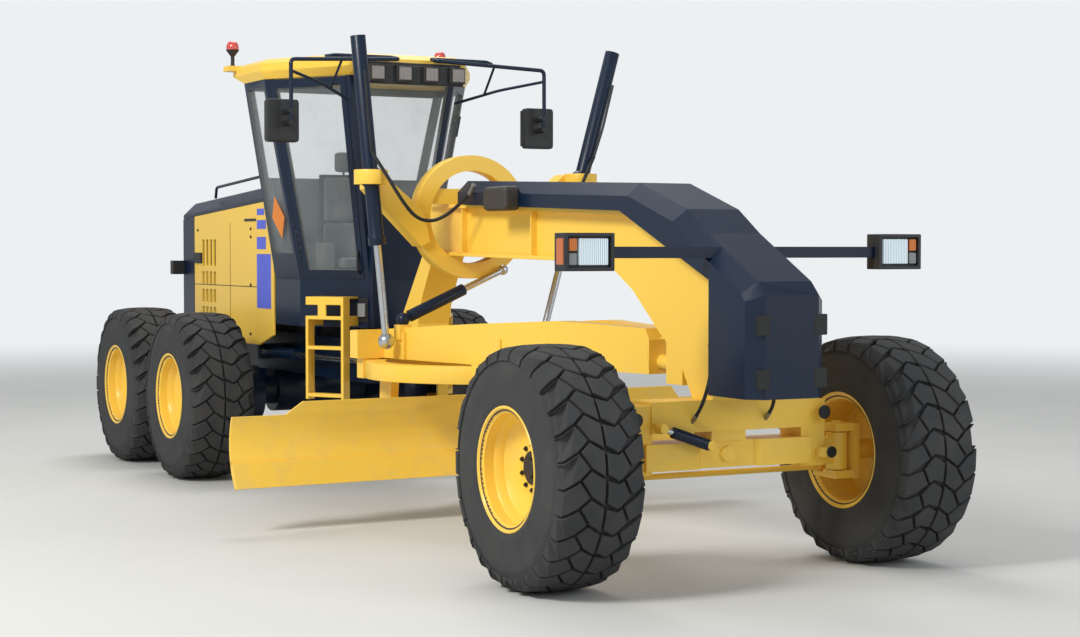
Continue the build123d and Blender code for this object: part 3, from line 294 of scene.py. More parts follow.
# %% Paint recipe
def paint(name, colour, shade, gloss, dust, dusty):
    """Sprayed paint: slow colour drift, dust that gathers low, and a fine ripple."""
    finish = Finish(name)
    drift = finish.noise(1.3, 3.0)
    mottle = finish.noise(18.0, 4.0, 0.6)
    low = 1.0 - finish.axis("Z").smooth(0.3, 1.5)
    settled = low * finish.noise(6.0, 5.0, 0.65).smooth(0.42, 0.75) * 0.28
    film = ((settled + mottle.smooth(0.55, 0.8) * 0.05) * dusty).clamp()
    base = finish.mix((drift * 0.6).clamp(), colour, shade)
    finish.base = finish.mix(film, base, dust)
    finish.set(
        base_color=finish.base,
        roughness=gloss + film * 0.45 + mottle * 0.05,
        coat_weight=0.16 - film * 0.14,
    )
    finish.shader.inputs["Coat Roughness"].default_value = 0.15
    finish.shader.inputs["Specular IOR Level"].default_value = 0.3
    finish.bump(finish.noise(420.0, 1.0), 0.0002)
    return finish


yellow = paint("yellow_paint", hue("#F8CE52"), hue("#F2C244"), 0.38, hue("#CDB887"), 1.0).material
NAVY = (hue("#021B36"), hue("#01152B"), 0.4, hue("#27353F"), 0.4)
navy = paint("navy_paint", *NAVY).material


CAB_MIDDLE = (0.0, behind(4.95), 2.3)


def lined_paint(name):
    """The navy paint outside, and grey trim on every face that looks towards the cab's middle."""
    finish = paint(name, *NAVY)
    facing = finish.node("ShaderNodeTexCoord", output="Normal")
    less, dot = {"operation": "SUBTRACT"}, {"operation": "DOT_PRODUCT"}
    offset = finish.node("ShaderNodeVectorMath", less, {0: finish.place(), 1: CAB_MIDDLE})
    outward = finish.node("ShaderNodeVectorMath", dot, {0: facing, 1: offset}, output="Value")
    return finish.set(base_color=finish.mix(outward < 0.0, finish.base, hue("#6A6D70"))).material


cab_paint = lined_paint("cab_paint")
print("paints:", yellow.name, navy.name)

# %% [markdown]
# ## Other materials
# Plastic and powder coat drift a little in tone under a fine grain. Bare metal has its drift in the polish.
# Rubber is nearly black, with dusty grey in random patches. Glass is a thin tinted pane, and a lens has fine
# upright ribs.

# %% Plain metals and plastics
def plastic(name, colour, roughness, grain=900.0, depth=0.0002, coat=0.0):
    """Moulded plastic or powder coat: one colour that drifts a little, with a fine grain."""
    finish = Finish(name)
    drift = finish.noise(7.0, 3.0)
    finish.set(
        base_color=finish.mix(drift, colour, tuple(c * 0.8 for c in colour[:3]) + (1.0,)),
        roughness=roughness + drift * 0.1,
    )
    finish.shader.inputs["Coat Weight"].default_value = coat
    finish.bump(finish.noise(grain, 1.0), depth)
    return finish.material


def metal(name, colour, roughness, scratch):
    """Bare or plated metal with a light drift in its polish."""
    finish = Finish(name)
    wear = finish.noise(scratch, 5.0, 0.7)
    finish.set(
        base_color=finish.mix(wear, colour, tuple(c * 0.85 for c in colour[:3]) + (1.0,)),
        roughness=roughness + wear * 0.12,
        metallic=1.0,
    )
    finish.bump(wear, 0.0001)
    return finish.material


black_plastic = plastic("black_plastic", hue("#25272A"), 0.5)
dark_metal = plastic("dark_metal", hue("#1B1D20"), 0.45, 300.0)
cab_grey = plastic("cab_grey", hue("#6E7173"), 0.6)
pale_grey = plastic("pale_grey", hue("#8D9092"), 0.6)
casting = plastic("casting", hue("#3A3C3F"), 0.75, 160.0, 0.0008)
hose_rubber = plastic("hose_rubber", hue("#151618"), 0.55, 500.0)
chrome = metal("polished_rod", hue("#C9CDD2"), 0.2, 30.0)
steel = metal("worn_steel", hue("#9B9A97"), 0.38, 22.0)
print("plastics and metals:", 8)

# %% Rubber
def rubber():
    """Tyre rubber: near black, with dusty grey in soft random patches and fine grit."""
    finish = Finish("tyre_rubber")
    drift = finish.noise(5.0, 4.0, 0.6)
    grit = finish.noise(160.0, 3.0, 0.7)
    dusty = (drift.smooth(0.35, 0.75) * 0.45 + grit.smooth(0.5, 0.9) * 0.2).clamp()
    finish.set(
        base_color=finish.mix(dusty, hue("#37383A"), hue("#4B4A48")),
        roughness=0.78 + grit * 0.12,
        specular_ior_level=0.35,
    )
    finish.bump(grit, 0.0006)
    return finish.material


tyre_rubber = rubber()
print("rubber:", tyre_rubber.name)

# %% Glass, lenses and mirror
def glass(name, colour, alpha, roughness):
    """A thin tinted pane: it lets most light through and carries a faint film of dust."""
    finish = Finish(name)
    film = finish.noise(3.0, 4.0, 0.6)
    finish.set(
        base_color=finish.mix(film, colour, hue("#C2CACD")),
        roughness=roughness + film * 0.08,
        alpha=alpha + film.smooth(0.45, 0.8) * 0.05,
    )
    finish.material.surface_render_method = "DITHERED"
    return finish.material


def lens(name, colour, deep, glow=0.0):
    """A moulded lens: fine upright ribs under a clear, glossy face."""
    finish = Finish(name)
    ribs = finish.node(
        "ShaderNodeTexWave",
        {"wave_type": "BANDS", "bands_direction": "X"},
        {"Vector": finish.place(), "Scale": 28.0, "Distortion": 0.0},
        output=1,
    )
    finish.set(base_color=finish.mix(ribs, deep, colour), roughness=0.12 + ribs * 0.08)
    finish.shader.inputs["Coat Weight"].default_value = 1.0
    if glow:
        finish.shader.inputs["Emission Strength"].default_value = glow
        finish.set(emission_color=finish.mix(ribs, deep, colour))
    finish.bump(ribs, 0.001)
    return finish.material


cab_pane = glass("cab_pane", hue("#93A8B2"), 0.12, 0.03)
clear_lens = lens("clear_lens", hue("#EAF4FA"), hue("#9FB4C0"), 0.25)
amber_lens = lens("amber_lens", hue("#F08A1E"), hue("#B4560C"))
beacon_lens = lens("beacon_lens", hue("#E4574C"), hue("#A62A28"), 0.1)
blue_plate = plastic("blue_plate", hue("#5565E0"), 0.4)
orange_plate = plastic("orange_plate", hue("#F08A2A"), 0.5)
red_lens = lens("red_lens", hue("#D8362C"), hue("#8A1614"), 0.05)
smoky_lens = lens("smoky_lens", hue("#6A5A4C"), hue("#2A2420"))
mirror_face = metal("mirror_face", hue("#C8D0D4"), 0.02, 4.0)
print("panes and lenses:", cab_pane.name, clear_lens.name, amber_lens.name, beacon_lens.name)

# %% [markdown]
# ## Seat cloth
# The seat is woven grey cloth. Its weave is two waves at right angles, fine enough to show as a texture and
# not as a pattern, with a little fuzz in its colour.

# %% Seat cloth
def cloth(name, colour, shade):
    """Woven cloth: two crossed waves lift the threads, and the noise between them is fuzz."""
    finish = Finish(name)
    waves = []
    for direction in ("X", "Z"):
        settings = {"wave_type": "BANDS", "bands_direction": direction}
        inputs = {"Vector": finish.place(), "Scale": 130.0, "Distortion": 0.4}
        waves.append(finish.node("ShaderNodeTexWave", settings, inputs, output=1))
    weave = waves[0] * waves[1]
    fuzz = finish.noise(60.0, 3.0)
    finish.set(base_color=finish.mix((weave * 0.5 + fuzz * 0.5).clamp(), shade, colour), roughness=0.92)
    finish.shader.inputs["Sheen Weight"].default_value = 0.3
    finish.bump(weave, 0.0008)
    return finish.material


seat_cloth = cloth("seat_cloth", hue("#77797C"), hue("#595B5F"))
print("cloth:", seat_cloth.name)

# %% [markdown]
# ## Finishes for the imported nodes
# The frame's own shapes are right, so most of them stay and only get a finish. A small bevel is added as a
# modifier, which leaves the mesh itself alone: real plates have broken edges, and without them an edge
# never catches light. The imported meshes are split along their creases, so they are welded first.

# %% Dress the nodes
NODE_FINISH = {
    "knuckle_left": yellow, "knuckle_right": yellow, "tie_rod": yellow, "front_axle": yellow,
    "front_frame": yellow, "front_cover": navy, "headlamps": black_plastic, "lift_saddle": yellow,
    "lift_barrel_left": navy, "lift_barrel_right": navy, "lift_rod_left": chrome, "lift_rod_right": chrome,
    "drawbar": yellow, "circle": yellow, "tilt_bracket": yellow, "moldboard": yellow,
    "side_shift_barrel": navy, "side_shift_rod": chrome,
    "centre_shift_barrel": navy, "centre_shift_rod": chrome,
    "rear_frame": navy, "tandem_drive": navy, "engine_block": casting,
    "articulation_barrel_left": navy, "articulation_barrel_right": navy,
    "articulation_rod_left": chrome, "articulation_rod_right": chrome,
    "hood": navy, "side_panels": yellow, "rear_grille": navy, "cab_shell": cab_paint, "cab_glass": cab_pane,
    "door_left": cab_paint, "door_right": cab_paint,
    "door_glass_left": cab_pane, "door_glass_right": cab_pane,
    "cab_roof": yellow, "beacons": beacon_lens, "cab_cowl": navy, "seat_base": black_plastic,
    "seat_cushion": seat_cloth, "seat_back": seat_cloth, "controls": cab_grey, "ladders": yellow,
    "mirror_arms": navy, "mirrors": black_plastic, "work_lamps": black_plastic,
}
# edges in metres; plates are broken by PLATE_EDGE, and cast or pressed skins more softly
PLATE_EDGE = 0.005
WELD = 0.00005
NODE_CREASE = 32
SOFT_EDGE = {"front_cover": 0.022, "hood": 0.02, "cab_roof": 0.02, "front_axle": 0.008, "mirrors": 0.018}
NO_EDGE = {"cab_glass", "door_glass_left", "door_glass_right", "lift_rod_left", "lift_rod_right"}
for name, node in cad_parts.items():
    finish = NODE_FINISH.get(name, yellow if name.startswith("rim") else tyre_rubber)
    node.data.materials.clear()
    node.data.materials.append(finish)
    if name in NO_EDGE or name.startswith(("tyre", "rim")):
        continue
    weld = node.modifiers.new("weld", "WELD")
    weld.merge_threshold = WELD
    edge = node.modifiers.new("edge", "BEVEL")
    edge.width = SOFT_EDGE.get(name, PLATE_EDGE)
    edge.segments = 2
    edge.limit_method = "ANGLE"
    edge.angle_limit = math.radians(NODE_CREASE)
    edge.harden_normals = True
    edge.use_clamp_overlap = True
print("dressed", len(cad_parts), "nodes")

# %% [markdown]
# ## Tyres
# The tread of a grader's tyre is a belt of big rubber blocks, cut apart by narrow grooves that zigzag from
# shoulder to shoulder. One pitch of the belt is drawn flat, as four blocks across, and the belt is wrapped
# round the wheel: each point's place along the belt becomes an angle, and its place across becomes a place
# on the tyre's section. The carcass below is that same section turned round the axle, lower by the depth of
# the grooves.

# %% Tyre section
TYRE_R = 0.645
TREAD_HALF = 0.232
TREAD_DEPTH = 0.026
PITCHES = 28
PITCH = 2 * math.pi / PITCHES
GROOVE = 0.0075
NUDGE = 0.02
SIDE_SINK = 0.6

# half of the tread's outer line: place across the belt, then distance from the middle and radius
CROWN = (
    (0.0, 0.0, 0.6445),
    (0.5, 0.118, 0.641),
    (0.85, 0.2, 0.632),
    (1.0, 0.232, 0.619),
    (1.12, 0.2435, 0.596),
    (1.3, 0.2462, 0.556),
)


def section_at(across):
    """Distance from the middle, and radius, of a place across the belt; past 1 is the shoulder."""
    side = -1 if across < 0 else 1
    place = min(abs(across), CROWN[-1][0])
    for (a, xa, ra), (b, xb, rb) in zip(CROWN, CROWN[1:]):
        if place <= b:
            share = (place - a) / (b - a)
            return side * (xa + (xb - xa) * share), ra + (rb - ra) * share
    return side * CROWN[-1][1], CROWN[-1][2]


def wrap(across, along, sink):
    """A point of the flat belt on the tyre, sunk below the tread's face by a depth in metres."""
    x, radius = section_at(across)
    nearby, lower = section_at(across + (NUDGE if across >= 0 else -NUDGE))
    lean = math.atan2(abs(nearby - x), max(1e-6, radius - lower))
    side = -1 if across < 0 else 1
    x -= side * sink * math.cos(lean) * SIDE_SINK
    radius -= sink * math.sin(lean)
    angle = along * PITCH
    return Vector((x, radius * math.sin(angle), radius * math.cos(angle)))


# one pitch of the belt, flat: each block's corners as (across, along), all the way round it
BLOCKS = (
    ((-1.3, -0.62), (-1.0, -0.62), (-0.42, 0.0), (-0.62, 0.62), (-1.0, 0.38), (-1.3, 0.38)),
    ((-0.42, 0.0), (-0.3, 0.14), (0.0, 0.0), (0.0, 0.86), (-0.3, 1.14), (-0.42, 1.0), (-0.62, 0.62)),
    ((0.0, 0.0), (0.36, -0.38), (0.62, 0.0), (0.4, 0.5), (0.36, 0.62), (0.0, 1.0)),
    (
        (0.62, 0.0), (1.0, 0.34), (1.3, 0.34), (1.3, 1.34),
        (1.0, 1.34), (0.62, 1.0), (0.36, 0.62), (0.4, 0.5),
    ),
)
print("pitches:", PITCHES, "blocks in a pitch:", len(BLOCKS))

# %% Tread blocks and carcass
NEARLY_STRAIGHT = 0.08
# how far a block's foot, lip and face stand in from the middle of the groove, in grooves
FOOT_IN, LIP_IN, FACE_IN = 0.75, 1.0, 1.45
LIP_SINK = 0.0035
ROOT_SINK = 0.006


def inset(corners, amount_across, amount_along):
    """The same corners, drawn in from each edge: the amounts are what one step in is worth on each axis."""
    points = []
    count = len(corners)
    for i in range(count):
        before, here, after = corners[i - 1], corners[i], corners[(i + 1) % count]
        lines = []
        for p, q in ((before, here), (here, after)):
            dx, dy = (q[0] - p[0]) / amount_across, (q[1] - p[1]) / amount_along
            size = math.hypot(dx, dy)
            nx, ny = -dy / size, dx / size
            lines.append((p[0] / amount_across + nx, p[1] / amount_along + ny, dx / size, dy / size))
        (x1, y1, ax, ay), (x2, y2, bx, by) = lines
        cross = ax * by - ay * bx
        if abs(cross) < NEARLY_STRAIGHT:
            x, y = here[0] / amount_across + (-ay), here[1] / amount_along + ax
        else:
            t = ((x2 - x1) * by - (y2 - y1) * bx) / cross
            x, y = x1 + ax * t, y1 + ay * t
        points.append((x * amount_across, y * amount_along))
    return points


def ring_of(mesh, corners, sink, shift):
    """A closed row of vertices through a block's corners, with one more between each two."""
    row = []
    for (a, b), (c, d) in zip(corners, corners[1:] + corners[:1]):
        row.append(mesh.verts.new(wrap(a, b + shift, sink)))
        row.append(mesh.verts.new(wrap((a + c) / 2, (b + d) / 2 + shift, sink)))
    return row


# half of the carcass's line below the tread, from the bead to the crown: distance from the middle, radius
BEAD = (0.232, 0.302)
CARCASS = [
    (0.241, 0.333), (0.247, 0.352), (0.2485, 0.362), (0.2485, 0.378), (0.2465, 0.385),
    (0.2495, 0.43), (0.25, 0.47), (0.2475, 0.52), (0.246, 0.534), (0.2385, 0.545),
    (0.233, 0.572), (0.222, 0.595), (0.19, 0.608), (0.1, 0.615),
]
TURNS = 84


def tyre_mesh():
    """One tyre about its own middle, its axle along X."""
    mesh = bmesh.new()
    across = GROOVE / TREAD_HALF
    along = GROOVE / (TYRE_R * PITCH)
    for corners in BLOCKS:
        area = sum(p[0] * q[1] - q[0] * p[1] for p, q in zip(corners, corners[1:] + corners[:1]))
        if area < 0:
            corners = corners[::-1]
        foot = inset(list(corners), across * FOOT_IN, along * FOOT_IN)
        lip = inset(list(corners), across * LIP_IN, along * LIP_IN)
        face = inset(list(corners), across * FACE_IN, along * FACE_IN)
        for pitch in range(PITCHES):
            rows = [ring_of(mesh, foot, TREAD_DEPTH + ROOT_SINK, pitch)]
            rows.append(ring_of(mesh, lip, LIP_SINK, pitch))
            rows.append(ring_of(mesh, face, 0.0, pitch))
            for low, high in zip(rows, rows[1:]):
                for i in range(len(low)):
                    j = (i + 1) % len(low)
                    mesh.faces.new((low[i], low[j], high[j], high[i]))
            mesh.faces.new(rows[-1])
    line = [BEAD] + CARCASS + [(-x, r) for x, r in reversed(CARCASS)] + [(-BEAD[0], BEAD[1])]
    rows = []
    for step in range(TURNS):
        angle = 2 * math.pi * step / TURNS
        rows.append([mesh.verts.new((x, r * math.sin(angle), r * math.cos(angle))) for x, r in line])
    for step in range(TURNS):
        here, there = rows[step], rows[(step + 1) % TURNS]
        for i in range(len(line)):
            j = (i + 1) % len(line)
            mesh.faces.new((here[i], there[i], there[j], here[j]))
    bmesh.ops.triangulate(mesh, faces=[f for f in mesh.faces if len(f.verts) > 4])
    bmesh.ops.recalc_face_normals(mesh, faces=mesh.faces)
    data = bpy.data.meshes.new("tyre_tread")
    mesh.to_mesh(data)
    mesh.free()
    return data


def smooth_by_angle(data, degrees):
    """Smooth shading, with creases kept wherever faces meet more sharply than an angle."""
    data.shade_smooth()
    data.set_sharp_from_angle(angle=math.radians(degrees))


tyre_data = tyre_mesh()
smooth_by_angle(tyre_data, 30)
tyre_data.materials.append(tyre_rubber)
print("tyre triangles:", sum(len(p.vertices) - 2 for p in tyre_data.polygons))

# %% Hang the tyres
WHEELS = ("front_left", "front_right", "mid_left", "mid_right", "rear_left", "rear_right")


def put(name, data, at=(0, 0, 0), turn=0.0):
    """An object for a mesh, placed in the frame and turned about the upright axis, in degrees."""
    piece = bpy.data.objects.new(name, data)
    piece.location = at
    piece.rotation_euler = (0, 0, math.radians(turn))
    bpy.context.scene.collection.objects.link(piece)
    return piece


def middle_of(node):
    """The middle of a CAD node's box."""
    low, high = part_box(node)
    return Vector([(a + b) / 2 for a, b in zip(low, high)])


for wheel in WHEELS:
    side = 1 if wheel.endswith("left") else -1
    tyre = put("tread_" + wheel, tyre_data, middle_of("tyre_" + wheel), 0 if side > 0 else 180)
    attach(tyre, "wheel_" + wheel)
    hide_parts("tyre_" + wheel)
print("tyres:", len(WHEELS))

# %% [markdown]
# ## Helpers for added pieces
# Small fittings are drawn in bmesh, straight in the frame's metres, so a place read off the model can be
# typed in as it is. Every one of them rides a body of the model: when a joint moves, its fittings move too.
# A broken edge is a bevel modifier here as well, and tubes are curves with a round section.

# %% Shape and tube
CREASE = 35
REACH_MOST = 0.45


class Shape:
    """A piece drawn in bmesh, in the frame's own metres."""

    def __init__(self):
        self.mesh = bmesh.new()

    def skin(self, rows, loop=False):
        """Joins rows of vertices into a closed body, by end faces or by a loop to the first row."""
        if loop:
            rows = rows + rows[:1]
        for low, high in zip(rows, rows[1:]):
            for i in range(len(low)):
                j = (i + 1) % len(low)
                self.mesh.faces.new((low[i], low[j], high[j], high[i]))
        if not loop:
            self.mesh.faces.new(rows[0][::-1])
            self.mesh.faces.new(rows[-1])
        return self

    def box(self, low, high):
        """A box between its lowest and highest corner."""
        (x0, y0, z0), (x1, y1, z1) = low, high
        outline = ((x0, y0), (x1, y0), (x1, y1), (x0, y1))
        return self.skin([[self.mesh.verts.new((x, y, z)) for x, y in outline] for z in (z0, z1)])

    def slab(self, corners, thickness):
        """A flat plate through corners in space, thickened along its own normal."""
        corners = [Vector(c) for c in corners]
        normal = (corners[1] - corners[0]).cross(corners[2] - corners[1]).normalized() * thickness
        rows = [[self.mesh.verts.new(c + shift) for c in corners] for shift in (Vector(), normal)]
        return self.skin(rows)

    def turned(self, line, start, along, sides=32, loop=False):
        """A line of (distance, radius) turned about an axis that starts at a point."""
        along = Vector(along).normalized()
        side = along.orthogonal().normalized()
        other = along.cross(side)
        rows = []
        for distance, radius in line:
            middle = Vector(start) + along * distance
            row = []
            for step in range(sides):
                angle = 2 * math.pi * step / sides
                out = side * math.cos(angle) + other * math.sin(angle)
                row.append(self.mesh.verts.new(middle + out * radius))
            rows.append(row)
        return self.skin(rows, loop)

    def rod(self, start, end, radius, sides=24):
        """A round bar between two points."""
        length = (Vector(end) - Vector(start)).length
        return self.turned(((0.0, radius), (length, radius)), start, Vector(end) - Vector(start), sides)

    def data(self, name, finish, degrees=CREASE):
        """The finished mesh, with its faces turned outward and its creases kept."""
        bmesh.ops.recalc_face_normals(self.mesh, faces=self.mesh.faces)
        data = bpy.data.meshes.new(name)
        self.mesh.to_mesh(data)
        self.mesh.free()
        data.materials.append(finish)
        smooth_by_angle(data, degrees)
        return data

    def done(self, name, finish, body, slot, edge=0.004, replaces=()):
        """Makes the object, breaks its edges, and says what it rides, wears and stands in for."""
        return declare(put(name, self.data(name, finish)), body, edge, replaces)


def declare(piece, body, edge=0.0, replaces=()):
    """Breaks a piece's edges, and says what it rides and the nodes it stands in for."""
    if edge:
        bevel = piece.modifiers.new("edge", "BEVEL")
        bevel.width = edge
        bevel.segments = 2
        bevel.limit_method = "ANGLE"
        bevel.angle_limit = math.radians(CREASE)
        bevel.harden_normals = True
    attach(piece, body)
    for node in replaces:
        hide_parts(node)
    return piece


def rounded(points, radius):
    """Control points for a tube that turns its corners with about this radius."""
    points = [Vector(p) for p in points]
    line = [points[0]]
    for before, corner, after in zip(points, points[1:], points[2:]):
        back, on = [
            corner + (to - corner).normalized() * min(2 * radius, (to - corner).length * REACH_MOST)
            for to in (before, after)
        ]
        line += [back, corner, on]
    return line + [points[-1]]


def curve(name, points, radius, finish):
    """A round tube along one open curve, which runs near its inner points and through its ends."""
    data = bpy.data.curves.new(name, "CURVE")
    data.dimensions = "3D"
    data.bevel_depth = radius
    data.bevel_resolution = 5
    data.use_fill_caps = True
    spline = data.splines.new("NURBS")
    spline.points.add(len(points) - 1)
    for point, at in zip(spline.points, points):
        point.co = (*at, 1.0)
    spline.order_u = 3
    spline.use_endpoint_u = True
    spline.resolution_u = 10
    data.materials.append(finish)
    return put(name, data)


def tube(name, points, radius, finish, body, slot, corner=0.04, replaces=()):
    """A fixed pipe, bent with round corners."""
    return declare(curve(name, rounded(points, corner), radius, finish), body, 0.0, replaces)


SIDES = ((1, "left"), (-1, "right"))


def on_side(side, points):
    """Places written as (across, behind the front axle, up), on one side of the machine."""
    return [(side * x, behind(y), z) for x, y, z in points]


print("helpers ready")

# %% [markdown]
# ## Rims
# The wheel's dish is one turned line: the bead's flange, the drop well, the long slope of the dish and the
# flat hub face. The dark hub plate and its ten nuts are a second piece, so that they keep their own finish.

# %% Rims and hubs
# the dish's closed line, from the outer bead to the hub and back: distance from the tyre's middle, radius
DISH = (
    (0.232, 0.302), (0.232, 0.326), (0.236, 0.3305), (0.241, 0.3305), (0.2445, 0.327), (0.243, 0.318),
    (0.236, 0.312), (0.228, 0.306), (0.224, 0.298), (0.219, 0.291), (0.166, 0.286), (0.153, 0.275),
    (0.116, 0.264), (0.096, 0.242), (0.08, 0.214), (0.073, 0.197), (0.07, 0.15), (0.073, 0.143),
    (0.079, 0.138), (0.08, 0.132), (0.08, 0.002), (0.012, 0.002), (0.012, 0.262), (-0.002, 0.276),
    (-0.05, 0.288), (-0.215, 0.288), (-0.226, 0.3), (-0.236, 0.312), (-0.2445, 0.327), (-0.241, 0.3305),
    (-0.236, 0.3305), (-0.232, 0.326), (-0.232, 0.302),
)
HUB_PLATE = (
    (0.078, 0.088), (0.089, 0.088), (0.092, 0.084), (0.092, 0.052),
    (0.104, 0.05), (0.107, 0.046), (0.107, 0.001),
)
NUT = ((0.0, 0.0135), (0.013, 0.0135), (0.0131, 0.007), (0.02, 0.006), (0.0205, 0.003))
NUTS = 10
NUT_RING = 0.117
AXLE = (1, 0, 0)

dish_data = Shape().turned(DISH, (0, 0, 0), AXLE, 72, loop=True).data("rim_dish", yellow, 28)
hub = Shape().turned(HUB_PLATE, (0, 0, 0), AXLE, 40)
for nut in range(NUTS):
    angle = 2 * math.pi * nut / NUTS
    hub.turned(NUT, (0.078, NUT_RING * math.sin(angle), NUT_RING * math.cos(angle)), AXLE, 6)
hub_data = hub.data("hub_plate", dark_metal, 30)
for wheel in WHEELS:
    turn = 0 if wheel.endswith("left") else 180
    middle = middle_of("tyre_" + wheel)
    dish = put("dish_" + wheel, dish_data, middle, turn)
    declare(dish, "wheel_" + wheel, 0.0, ["rim_" + wheel])
    declare(put("hub_" + wheel, hub_data, middle, turn), "wheel_" + wheel)
print("rims:", len(WHEELS), "nuts in each:", NUTS)

# %% [markdown]
# ## Beacons, lamps and lenses
# Two red beacons stand on short stalks at the roof's rear corners. The front lamps have a wide clear lens
# and a small amber one in their recess, with a second amber on the outer side. Four smoky work lamps stand
# in the bar over the windscreen. All of these are plain shapes with no marks.

# %% Beacons
UP = (0, 0, 1)
# both lines are (height above the roof, radius)
STALK = (
    (0.0, 0.022), (0.008, 0.02), (0.01, 0.0145), (0.075, 0.0145),
    (0.095, 0.03), (0.122, 0.05), (0.126, 0.05),
)
DOME = (
    (0.126, 0.046), (0.132, 0.048), (0.155, 0.047), (0.175, 0.041),
    (0.187, 0.03), (0.193, 0.016), (0.195, 0.001),
)
stalks, domes = Shape(), Shape()
for side, _ in SIDES:
    foot = (side * 0.875, behind(5.465), 3.18)
    stalks.turned(STALK, foot, UP)
    domes.turned(DOME, foot, UP)
stalks.done("beacon_stalks", dark_metal, "rear_frame", "black_plastic", 0.0)
domes.done("beacon_domes", beacon_lens, "rear_frame", "lens", 0.0, ["beacons"])
print("beacons:", len(SIDES))

# %% Lamps
def side_box(shape, side, across, depth, height):
    """A box on one side of the machine, from (near, far) across, (front, back) and (low, high)."""
    low_x, high_x = sorted((side * across[0], side * across[1]))
    shape.box((low_x, behind(depth[0]), height[0]), (high_x, behind(depth[1]), height[1]))


clear, amber, dim, smoky, tail = Shape(), Shape(), Shape(), Shape(), Shape()
HEADLAMP_DEPTH = (-0.322, -0.3)
BAR_LAMPS = (0.105, 0.316)
for side, _ in SIDES:
    side_box(clear, side, (0.872, 1.045), HEADLAMP_DEPTH, (1.7, 1.838))
    side_box(amber, side, (1.055, 1.103), HEADLAMP_DEPTH, (1.772, 1.838))
    side_box(dim, side, (1.055, 1.103), HEADLAMP_DEPTH, (1.7, 1.762))
    side_box(amber, side, (1.12, 1.134), (-0.312, -0.238), (1.702, 1.838))
    side_box(tail, side, (0.562, 0.648), (7.765, 7.788), (1.572, 1.668))
    for middle in BAR_LAMPS:
        at = side * middle
        smoky.box((at - 0.05, behind(3.94), 2.992), (at + 0.05, behind(3.952), 3.088))
clear.done("headlamp_lenses", clear_lens, "front_frame", "lens", 0.006)
amber.done("marker_lenses", amber_lens, "front_frame", "lens", 0.006)
dim.done("marker_blanks", pale_grey, "front_frame", "lens", 0.006)
smoky.done("work_lamp_lenses", smoky_lens, "rear_frame", "lens", 0.005)
tail.done("tail_lenses", red_lens, "rear_frame", "lens", 0.006)
backing = Shape().box((-0.376, behind(3.985), 2.966), (0.376, behind(4.03), 3.1))
backing.done("lamp_bar_backing", black_plastic, "rear_frame", "black_plastic", 0.006)
print("lenses: front, markers, work lamps, tail")

# %% [markdown]
# ## Nose, axle and beam fittings
# The nose carries four black blocks, two on each side of its middle. The axle's upper and lower pins end in
# black caps that stay short, because the rim swings past them. A small hydraulic cylinder lies across the
# axle's right half, and a closed lamp box sits on the right of the beam's cover.

# %% Small fittings on the front frame and axle
AXLE_PINS = ((0.605, 0.88, 0.038), (0.655, 0.655, 0.032))
LEAN_Y = behind(-0.182)
squares, caps = Shape(), Shape()
for side, _ in SIDES:
    for height in ((1.337, 1.447), (1.061, 1.167)):
        side_box(squares, side, (0.135, 0.222), (-0.703, -0.69), height)
    for across, up, radius in AXLE_PINS:
        cap = ((0.0, radius), (0.008, radius), (0.012, radius * 0.85), (0.012, 0.001))
        caps.turned(cap, (side * across, behind(-0.148), up), (0, -1, 0))
nose_black = plastic("nose_block", hue("#0C0D0F"), 0.5)
squares.done("nose_blocks", nose_black, "front_frame", "black_plastic", 0.008)
caps.done("axle_pin_caps", dark_metal, "front_frame", "black_metal", 0.0)
beam_lamp = Shape().box((-0.345, behind(1.9), 2.022), (-0.225, behind(2.22), 2.176))
beam_brown = plastic("beam_lamp", hue("#3B3631"), 0.5)
beam_lamp.done("beam_lamp", beam_brown, "front_frame", "black_plastic", 0.03)
lean = Shape().rod((-0.17, LEAN_Y, 0.733), (-0.4, LEAN_Y, 0.812), 0.031)
lean.done("lean_barrel", navy, "front_frame", "navy_paint", 0.003)
lean_rod = Shape().rod((-0.39, LEAN_Y, 0.8085), (-0.462, LEAN_Y, 0.833), 0.017)
lean_rod.done("lean_rod", chrome, "front_frame", "rod", 0.0)
lean_ends = Shape()
for across, up in ((-0.17, 0.733), (-0.468, 0.835)):
    lean_ends.rod((across, behind(-0.216), up), (across, behind(-0.14), up), 0.026)
lean_ends.done("lean_ends", yellow, "front_frame", "yellow_paint", 0.003)
print("nose, pins and lean cylinder done")

# %% [markdown]
# ## Mirror arms
# Each arm is one bent tube: it runs along the roof's front edge, turns forward and outward over the lamp
# bar, and hangs down to the mirror's clamp. A thinner brace comes up to it from the front pillar.

# %% Mirror arms and mirror faces
MIRROR_ARM = (
    (0.66, 4.1, 3.15), (0.6, 4.065, 3.16), (0.15, 4.065, 3.162),
    (0.15, 3.96, 3.142), (0.994, 3.895, 3.1), (0.994, 3.892, 2.645),
)
MIRROR_BRACE = ((0.424, 4.243, 2.86), (0.7, 4.06, 2.955), (0.994, 3.893, 3.02))
MIRROR_STRUT = ((0.6, 3.925, 3.12), (0.61, 4.12, 2.925))
CLAMP_HEIGHTS = (2.66, 2.74)
faces, clamps = Shape(), Shape()
for side, name in SIDES:
    navy_tube = (navy, "rear_frame", "navy_paint")
    stands_for = ["mirror_arms"] if side > 0 else ()
    tube("mirror_arm_" + name, on_side(side, MIRROR_ARM), 0.0145, *navy_tube, 0.035, stands_for)
    tube("mirror_brace_" + name, on_side(side, MIRROR_BRACE), 0.011, *navy_tube, 0.05)
    tube("mirror_strut_" + name, on_side(side, MIRROR_STRUT), 0.009, *navy_tube)
    for up in CLAMP_HEIGHTS:
        clamps.rod((side * 0.994, behind(3.877), up), (side * 0.994, behind(4.02), up), 0.02)
    side_box(faces, side, (0.885, 1.115), (4.066, 4.0725), (2.548, 2.812))
